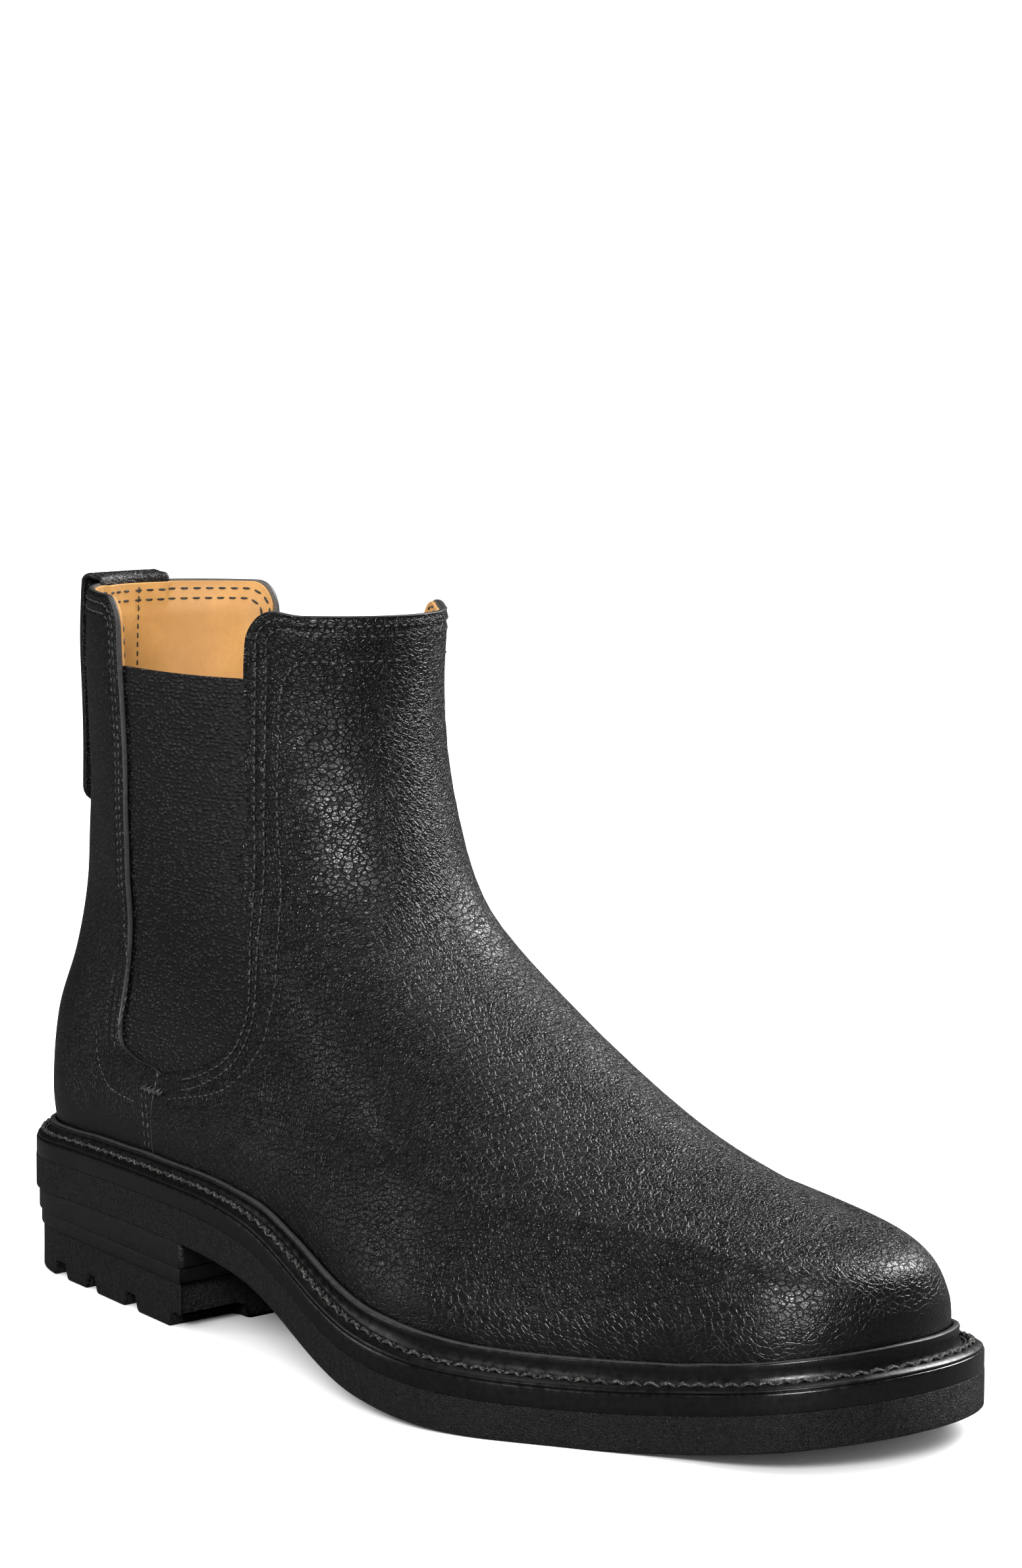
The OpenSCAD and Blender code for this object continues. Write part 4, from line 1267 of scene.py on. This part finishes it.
BREAST_TH = math.acos(1 - 2 * BREAST_F / BOOT_LENGTH)
WHOLE_TH = math.pi - 0.02
NOTCHES = [(25, 33), (43, 50), (65, 73), (90, 101)]
TREAD_FROM, TREAD_TO = 168, 291
TREAD_PITCH, TREAD_GROOVE, TREAD_DEPTH = 15.5, 4.0, 2.5
RING_F, RING_R = 47, 11


def tread(xy):
    """Blocks left standing in a shallow recess under the ball."""
    x, f = xy[..., 0] - MID_X, to_f(xy[..., 1])
    pitch = TREAD_PITCH
    row = np.floor((f - TREAD_FROM) / pitch + 0.5)
    across = np.mod(x - row * pitch / 2 + pitch / 2, pitch) - pitch / 2
    along = (f - TREAD_FROM) - row * pitch
    half = (pitch - TREAD_GROOVE) / 2
    block = step(half + 0.5, half - 0.5, np.abs(across)) * step(half + 0.5, half - 0.5, np.abs(along))
    s = f / BOOT_LENGTH
    wide = np.where(x < 0, smooth(WIDTH_KNOTS, SOLE_LATERAL, s), smooth(WIDTH_KNOTS, SOLE_MEDIAL, s))
    room = wide * 2 * np.sqrt(np.clip(s * (1 - s), 0, 1)) - np.abs(x)
    inside = step(11, 12.2, room) * step(TREAD_FROM - 2, TREAD_FROM, f) * step(TREAD_TO + 2, TREAD_TO, f)
    return TREAD_DEPTH * inside * (1 - block)


def lug_cut(xy):
    """Notches up both edges of the heel's top piece, and a round recess in it."""
    x, f = xy[..., 0] - MID_X, to_f(xy[..., 1])
    cut = sum(step(a - 0.2, a + 1.6, f) * step(b + 0.2, b - 1.6, f) for a, b in NOTCHES)
    cut = cut * step(23, 25, np.abs(x))
    ring = step(RING_R + 0.5, RING_R - 0.5, np.hypot(x, f - RING_F))
    return LUG_DEPTH * np.maximum(cut, ring)


def layer(offset):
    """Height field that keeps its distance above the sole's springing underside."""
    return lambda xy: bottom_z(to_f(xy[..., 1])) + offset


def level(z):
    return lambda xy: z + 0 * xy[..., 0]


def sole_underside(xy):
    return np.maximum(layer(0)(xy) + tread(xy), 0)


def build_sole():
    gap = 0.05  # between layers, so that no two faces coincide
    slab("outsole_rubber", "textured_rubber", "outsole", sole_underside, layer(OUTSOLE_T),
         edge_profile(0, 0.7, 0.2, OUTSOLE_T), WHOLE_TH, 440, 110)
    slab("midsole_layer", "edge_dressing", "midsole", layer(OUTSOLE_T + gap), layer(OUTSOLE_T + MIDSOLE_T),
         edge_profile(0.1, 0.12, 0.7, MIDSOLE_T), WHOLE_TH, 300, 24)
    slab("heel_top_rubber", "textured_rubber", "heel_top_piece", lug_cut, level(TOP_PIECE_T),
         edge_profile(2, 0.8, 0.25, TOP_PIECE_T), BREAST_TH - 0.006, 260, 110, True)
    slab("heel_lift_low", "smooth_rubber", "heel_lift_lower", level(TOP_PIECE_T + gap), level(LIFT_SPLIT),
         edge_profile(1.4, 0.2, 0.4, 4.0), BREAST_TH, 160, 24, True)
    slab("heel_lift_high", "smooth_rubber", "heel_lift_upper", level(LIFT_SPLIT + gap), layer(-gap),
         edge_profile(0.8, 0.3, 0.2, 5.5), BREAST_TH, 160, 24, True)


# ---- welt ------------------------------------------------------------------------------------------


def welt_point(th, q, h):
    """Point of the welt between the rib's outer face (q 0) and the sole's edge (q 1), h above the midsole."""
    v = 3 / FOOT_BAND / LAST
    foot = skin(th, v)
    out = unit(skin_normal(th, v)[..., :2])
    a = foot[..., :2] + out * 2.2
    b = sole_in(th, np.full(np.shape(th), 0.5))
    xy = a + (b - a) * np.asarray(q, float)[..., None]
    return np.concatenate([xy, (sole_top(to_f(xy[..., 1])) + h)[..., None]], -1)


def rib_point(th, d, h):
    """Point of the rib, d outside the leather and h above the midsole."""
    v = h / FOOT_BAND / LAST
    foot = skin(th, v)
    out = unit(skin_normal(th, v)[..., :2])
    xy = foot[..., :2] + out * d
    return np.concatenate([xy, (sole_top(to_f(xy[..., 1])) + h)[..., None]], -1)


# Across the welt from the rib to the sole's edge: (share of the way, height)
WELT_TOP = [
    (0.1, 1.15), (0.2, 1.3), (0.34, 1.6), (0.5, 1.7), (0.66, 1.55),
    (0.82, 1.15), (0.93, 0.75), (1.0, 0.45), (1.02, 0.1)]
# Up the rib's inner side, over its top and down its outer side: (distance out, share of its height, more)
RIB_SECTION = [
    (0.3, 0, 0.1), (0.3, 0.6, 0), (0.3, 1, -0.5), (0.45, 1, -0.08), (0.8, 1, 0.05),
    (1.45, 1, -0.05), (1.85, 1, -0.25), (2.05, 1, -0.7), (1.9, 0.72, 0), (1.85, 0.4, 0.6)]
WELT_BITES = 178


def build_welt():
    th = np.linspace(0, TURN, 900, endpoint=False)
    f = to_f(sole_xy(th)[:, 1])
    wander = 0.12 * value_noise(th * 12, 0 * th, 3)
    h = smooth(RIB_KNOTS, RIB_H, f / BOOT_LENGTH) + wander
    section = [rib_point(th, d, share * h + more) for d, share, more in RIB_SECTION]
    section.append(welt_point(th, 0.02, 0 * h + 1.4))
    bite = 0.16 * np.sin(th * WELT_BITES) ** 2
    section += [welt_point(th, q, top - bite * bell(q, 0.5, 0.25)) for q, top in WELT_TOP]
    n, m = len(section), len(th)
    points = np.stack(section, 1).reshape(-1, 3)
    i, j = np.meshgrid(np.arange(m), np.arange(n), indexing="ij")
    a, b = (i * n + j).ravel(), (i * n + (j + 1) % n).ravel()
    faces = np.stack([a, b, (b + n) % (m * n), (a + n) % (m * n)], -1)
    slots = np.where((j.ravel() >= 3) & (j.ravel() <= 5), 1, 0)
    obj = mesh("welt_strip", points, faces, look("welt_leather", "cut_edge"), slots)
    finish_piece(obj, "welt_leather", "storm_welt")


def build_welt_stitches():
    """Braided stitches all round: two crossing strands for each stitch, and a fine row inside them."""
    middle, top = 0.52, 1.8
    th = np.linspace(0, TURN, 3000)
    run = run_along(welt_point(th, middle, top + 0 * th))
    count = int(round(run[-1] / 4.3))
    q = np.linspace(-1, 1, 5)
    made = []
    for i in range(count):
        for way in (1, -1):
            wobble = 0.08 * (hash_noise(i, way) - 0.5)
            at = np.interp((i + 0.5 + 0.5 * q) * run[-1] / count, run, th)
            across = middle + wobble + way * 0.13 * q
            rise = top + np.array([-0.5, 0.05, 0.32 + 0.12 * way, 0.05, -0.5])
            made.append(tube(welt_point(at, across, rise), 0.42, np.tile(UP, (5, 1)), flat=0.8))
    fine = int(run[-1] / 1.9)
    for i in range(fine):
        at = np.interp((i + np.array([0.1, 0.5, 0.9])) * run[-1] / fine, run, th)
        path = welt_point(at, 0.24, np.array([1.3, 1.62, 1.3]))
        made.append(tube(path, 0.22, np.tile(UP, (3, 1)), sides=5))
    gather("welt_stitches", made, "waxed_thread", "welt_thread")


# ---- inside ----------------------------------------------------------------------------------------


def build_foot_bed():
    lift = OUTSOLE_T + MIDSOLE_T + 5.9

    def top(xy):
        x, f = xy[..., 0] - MID_X, to_f(xy[..., 1])
        cup = 1.2 * step(12, 34, np.abs(x)) * step(130, 60, f)
        return bottom_z(f) + lift + 1.4 + cup

    slab("sock_lining", "insole_leather", "foot_bed", layer(lift), top,
         [(14.6, 0), (14.4, 0.3), (14.4, 0.7), (14.8, 1)], WHOLE_TH, 200, 60)


HIDDEN = {
    "heel_nails": "nail_steel", "insole_rib": "canvas_rib", "cork_filler": "cork", "shank": "shank_steel",
    "insole_board": "insole_leather", "toe_puff": "stiffener", "heel_counter": "stiffener",
}


def dress_hidden():
    """Inner pieces keep their CAD shape and take their own finish."""
    for node, name in HIDDEN.items():
        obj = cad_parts[node]
        obj.data.materials.clear()
        obj.data.materials.append(LOOKS[name])


# ---- stage -----------------------------------------------------------------------------------------


def build_floor():
    """White paper that glossy surfaces see only dimly."""
    size, white = 60.0, (0.9, 0.9, 0.9)
    corners = [(-size, -size, 0), (size, -size, 0), (size, size, 0), (-size, size, 0)]
    data = bpy.data.meshes.new("floor")
    data.from_pydata(corners, [], [(0, 1, 2, 3)])
    paper = Look("floor_paper", white, 0.9)
    glossy = paper.node("LightPath").outputs["Is Glossy Ray"]
    paper.colour(paper.mix(glossy, white, (0.03, 0.03, 0.03)))
    data.materials.append(paper.material)
    obj = bpy.data.objects.new("floor", data)
    bpy.context.scene.collection.objects.link(obj)


def aim(obj, position, target):
    obj.location = position
    obj.rotation_euler = (Vector(target) - Vector(position)).to_track_quat("-Z", "Y").to_euler()


def area_light(name, position, target, width, tall, power):
    data = bpy.data.lights.new(name, "AREA")
    data.shape, data.size, data.size_y, data.energy = "RECTANGLE", width, tall, power
    obj = bpy.data.objects.new(name, data)
    bpy.context.scene.collection.objects.link(obj)
    aim(obj, position, target)


def build_lights():
    target = (0.0, -0.02, 0.09)
    area_light("right_box", (1.45, -0.15, 1.15), target, 0.8, 0.9, 44)
    area_light("left_box", (-1.3, -1.0, 0.9), target, 0.9, 0.3, 38)
    area_light("back_strip", (-1.2, 1.3, 0.6), target, 0.15, 1.2, 5)
    area_light("top", (0.1, 0.1, 1.9), target, 0.8, 0.8, 5)
    build_world(open_sky=1.9, reflected=0.02)


def build_world(open_sky, reflected):
    """White surroundings for the floor, dim to glossy rays, as between black flags."""
    world = bpy.data.worlds.new("studio")
    bpy.context.scene.world = world
    world.use_nodes = True
    tree = world.node_tree
    path = tree.nodes.new("ShaderNodeLightPath")
    level = tree.nodes.new("ShaderNodeMapRange")
    level.inputs["To Min"].default_value = open_sky
    level.inputs["To Max"].default_value = reflected
    tree.links.new(path.outputs["Is Glossy Ray"], level.inputs["Value"])
    tree.links.new(level.outputs["Result"], tree.nodes["Background"].inputs["Strength"])
    tree.nodes["Background"].inputs["Color"].default_value = (1, 1, 1, 1)


def set_view():
    """Plain film response: the white ground stays white and black leather black."""
    bpy.context.scene.view_settings.view_transform = "Standard"


def build_camera():
    """Seen from the outer front quarter, a little above the floor."""
    data = bpy.data.cameras.new("camera")
    data.sensor_fit, data.sensor_height, data.lens = "VERTICAL", 36.0, 105.84
    obj = bpy.data.objects.new("camera", data)
    bpy.context.scene.collection.objects.link(obj)
    position = Vector((-770.63 + MID_X, -823.40, 279.67)) * MM
    target = Vector((122.98 + MID_X, 114.86, 120.41)) * MM
    aim(obj, position, target)
    obj.rotation_euler.rotate_axis("Z", math.radians(0.350))
    bpy.context.scene.camera = obj


build_vamp()
build_front_lining()
build_rear_leather()
build_rear_lining()
for side_sign, side_name in ((1, "lateral"), (-1, "medial")):
    build_gore(side_sign, side_name + "_gore")
build_tapes()
build_upper_stitches()
for side_sign, side_name in ((1, "lateral"), (-1, "medial")):
    build_bar_tack(side_sign, side_name + "_bar_tack")
build_strap()
build_sole()
build_welt()
build_welt_stitches()
build_foot_bed()
dress_hidden()
build_floor()
build_lights()
build_camera()
set_view()
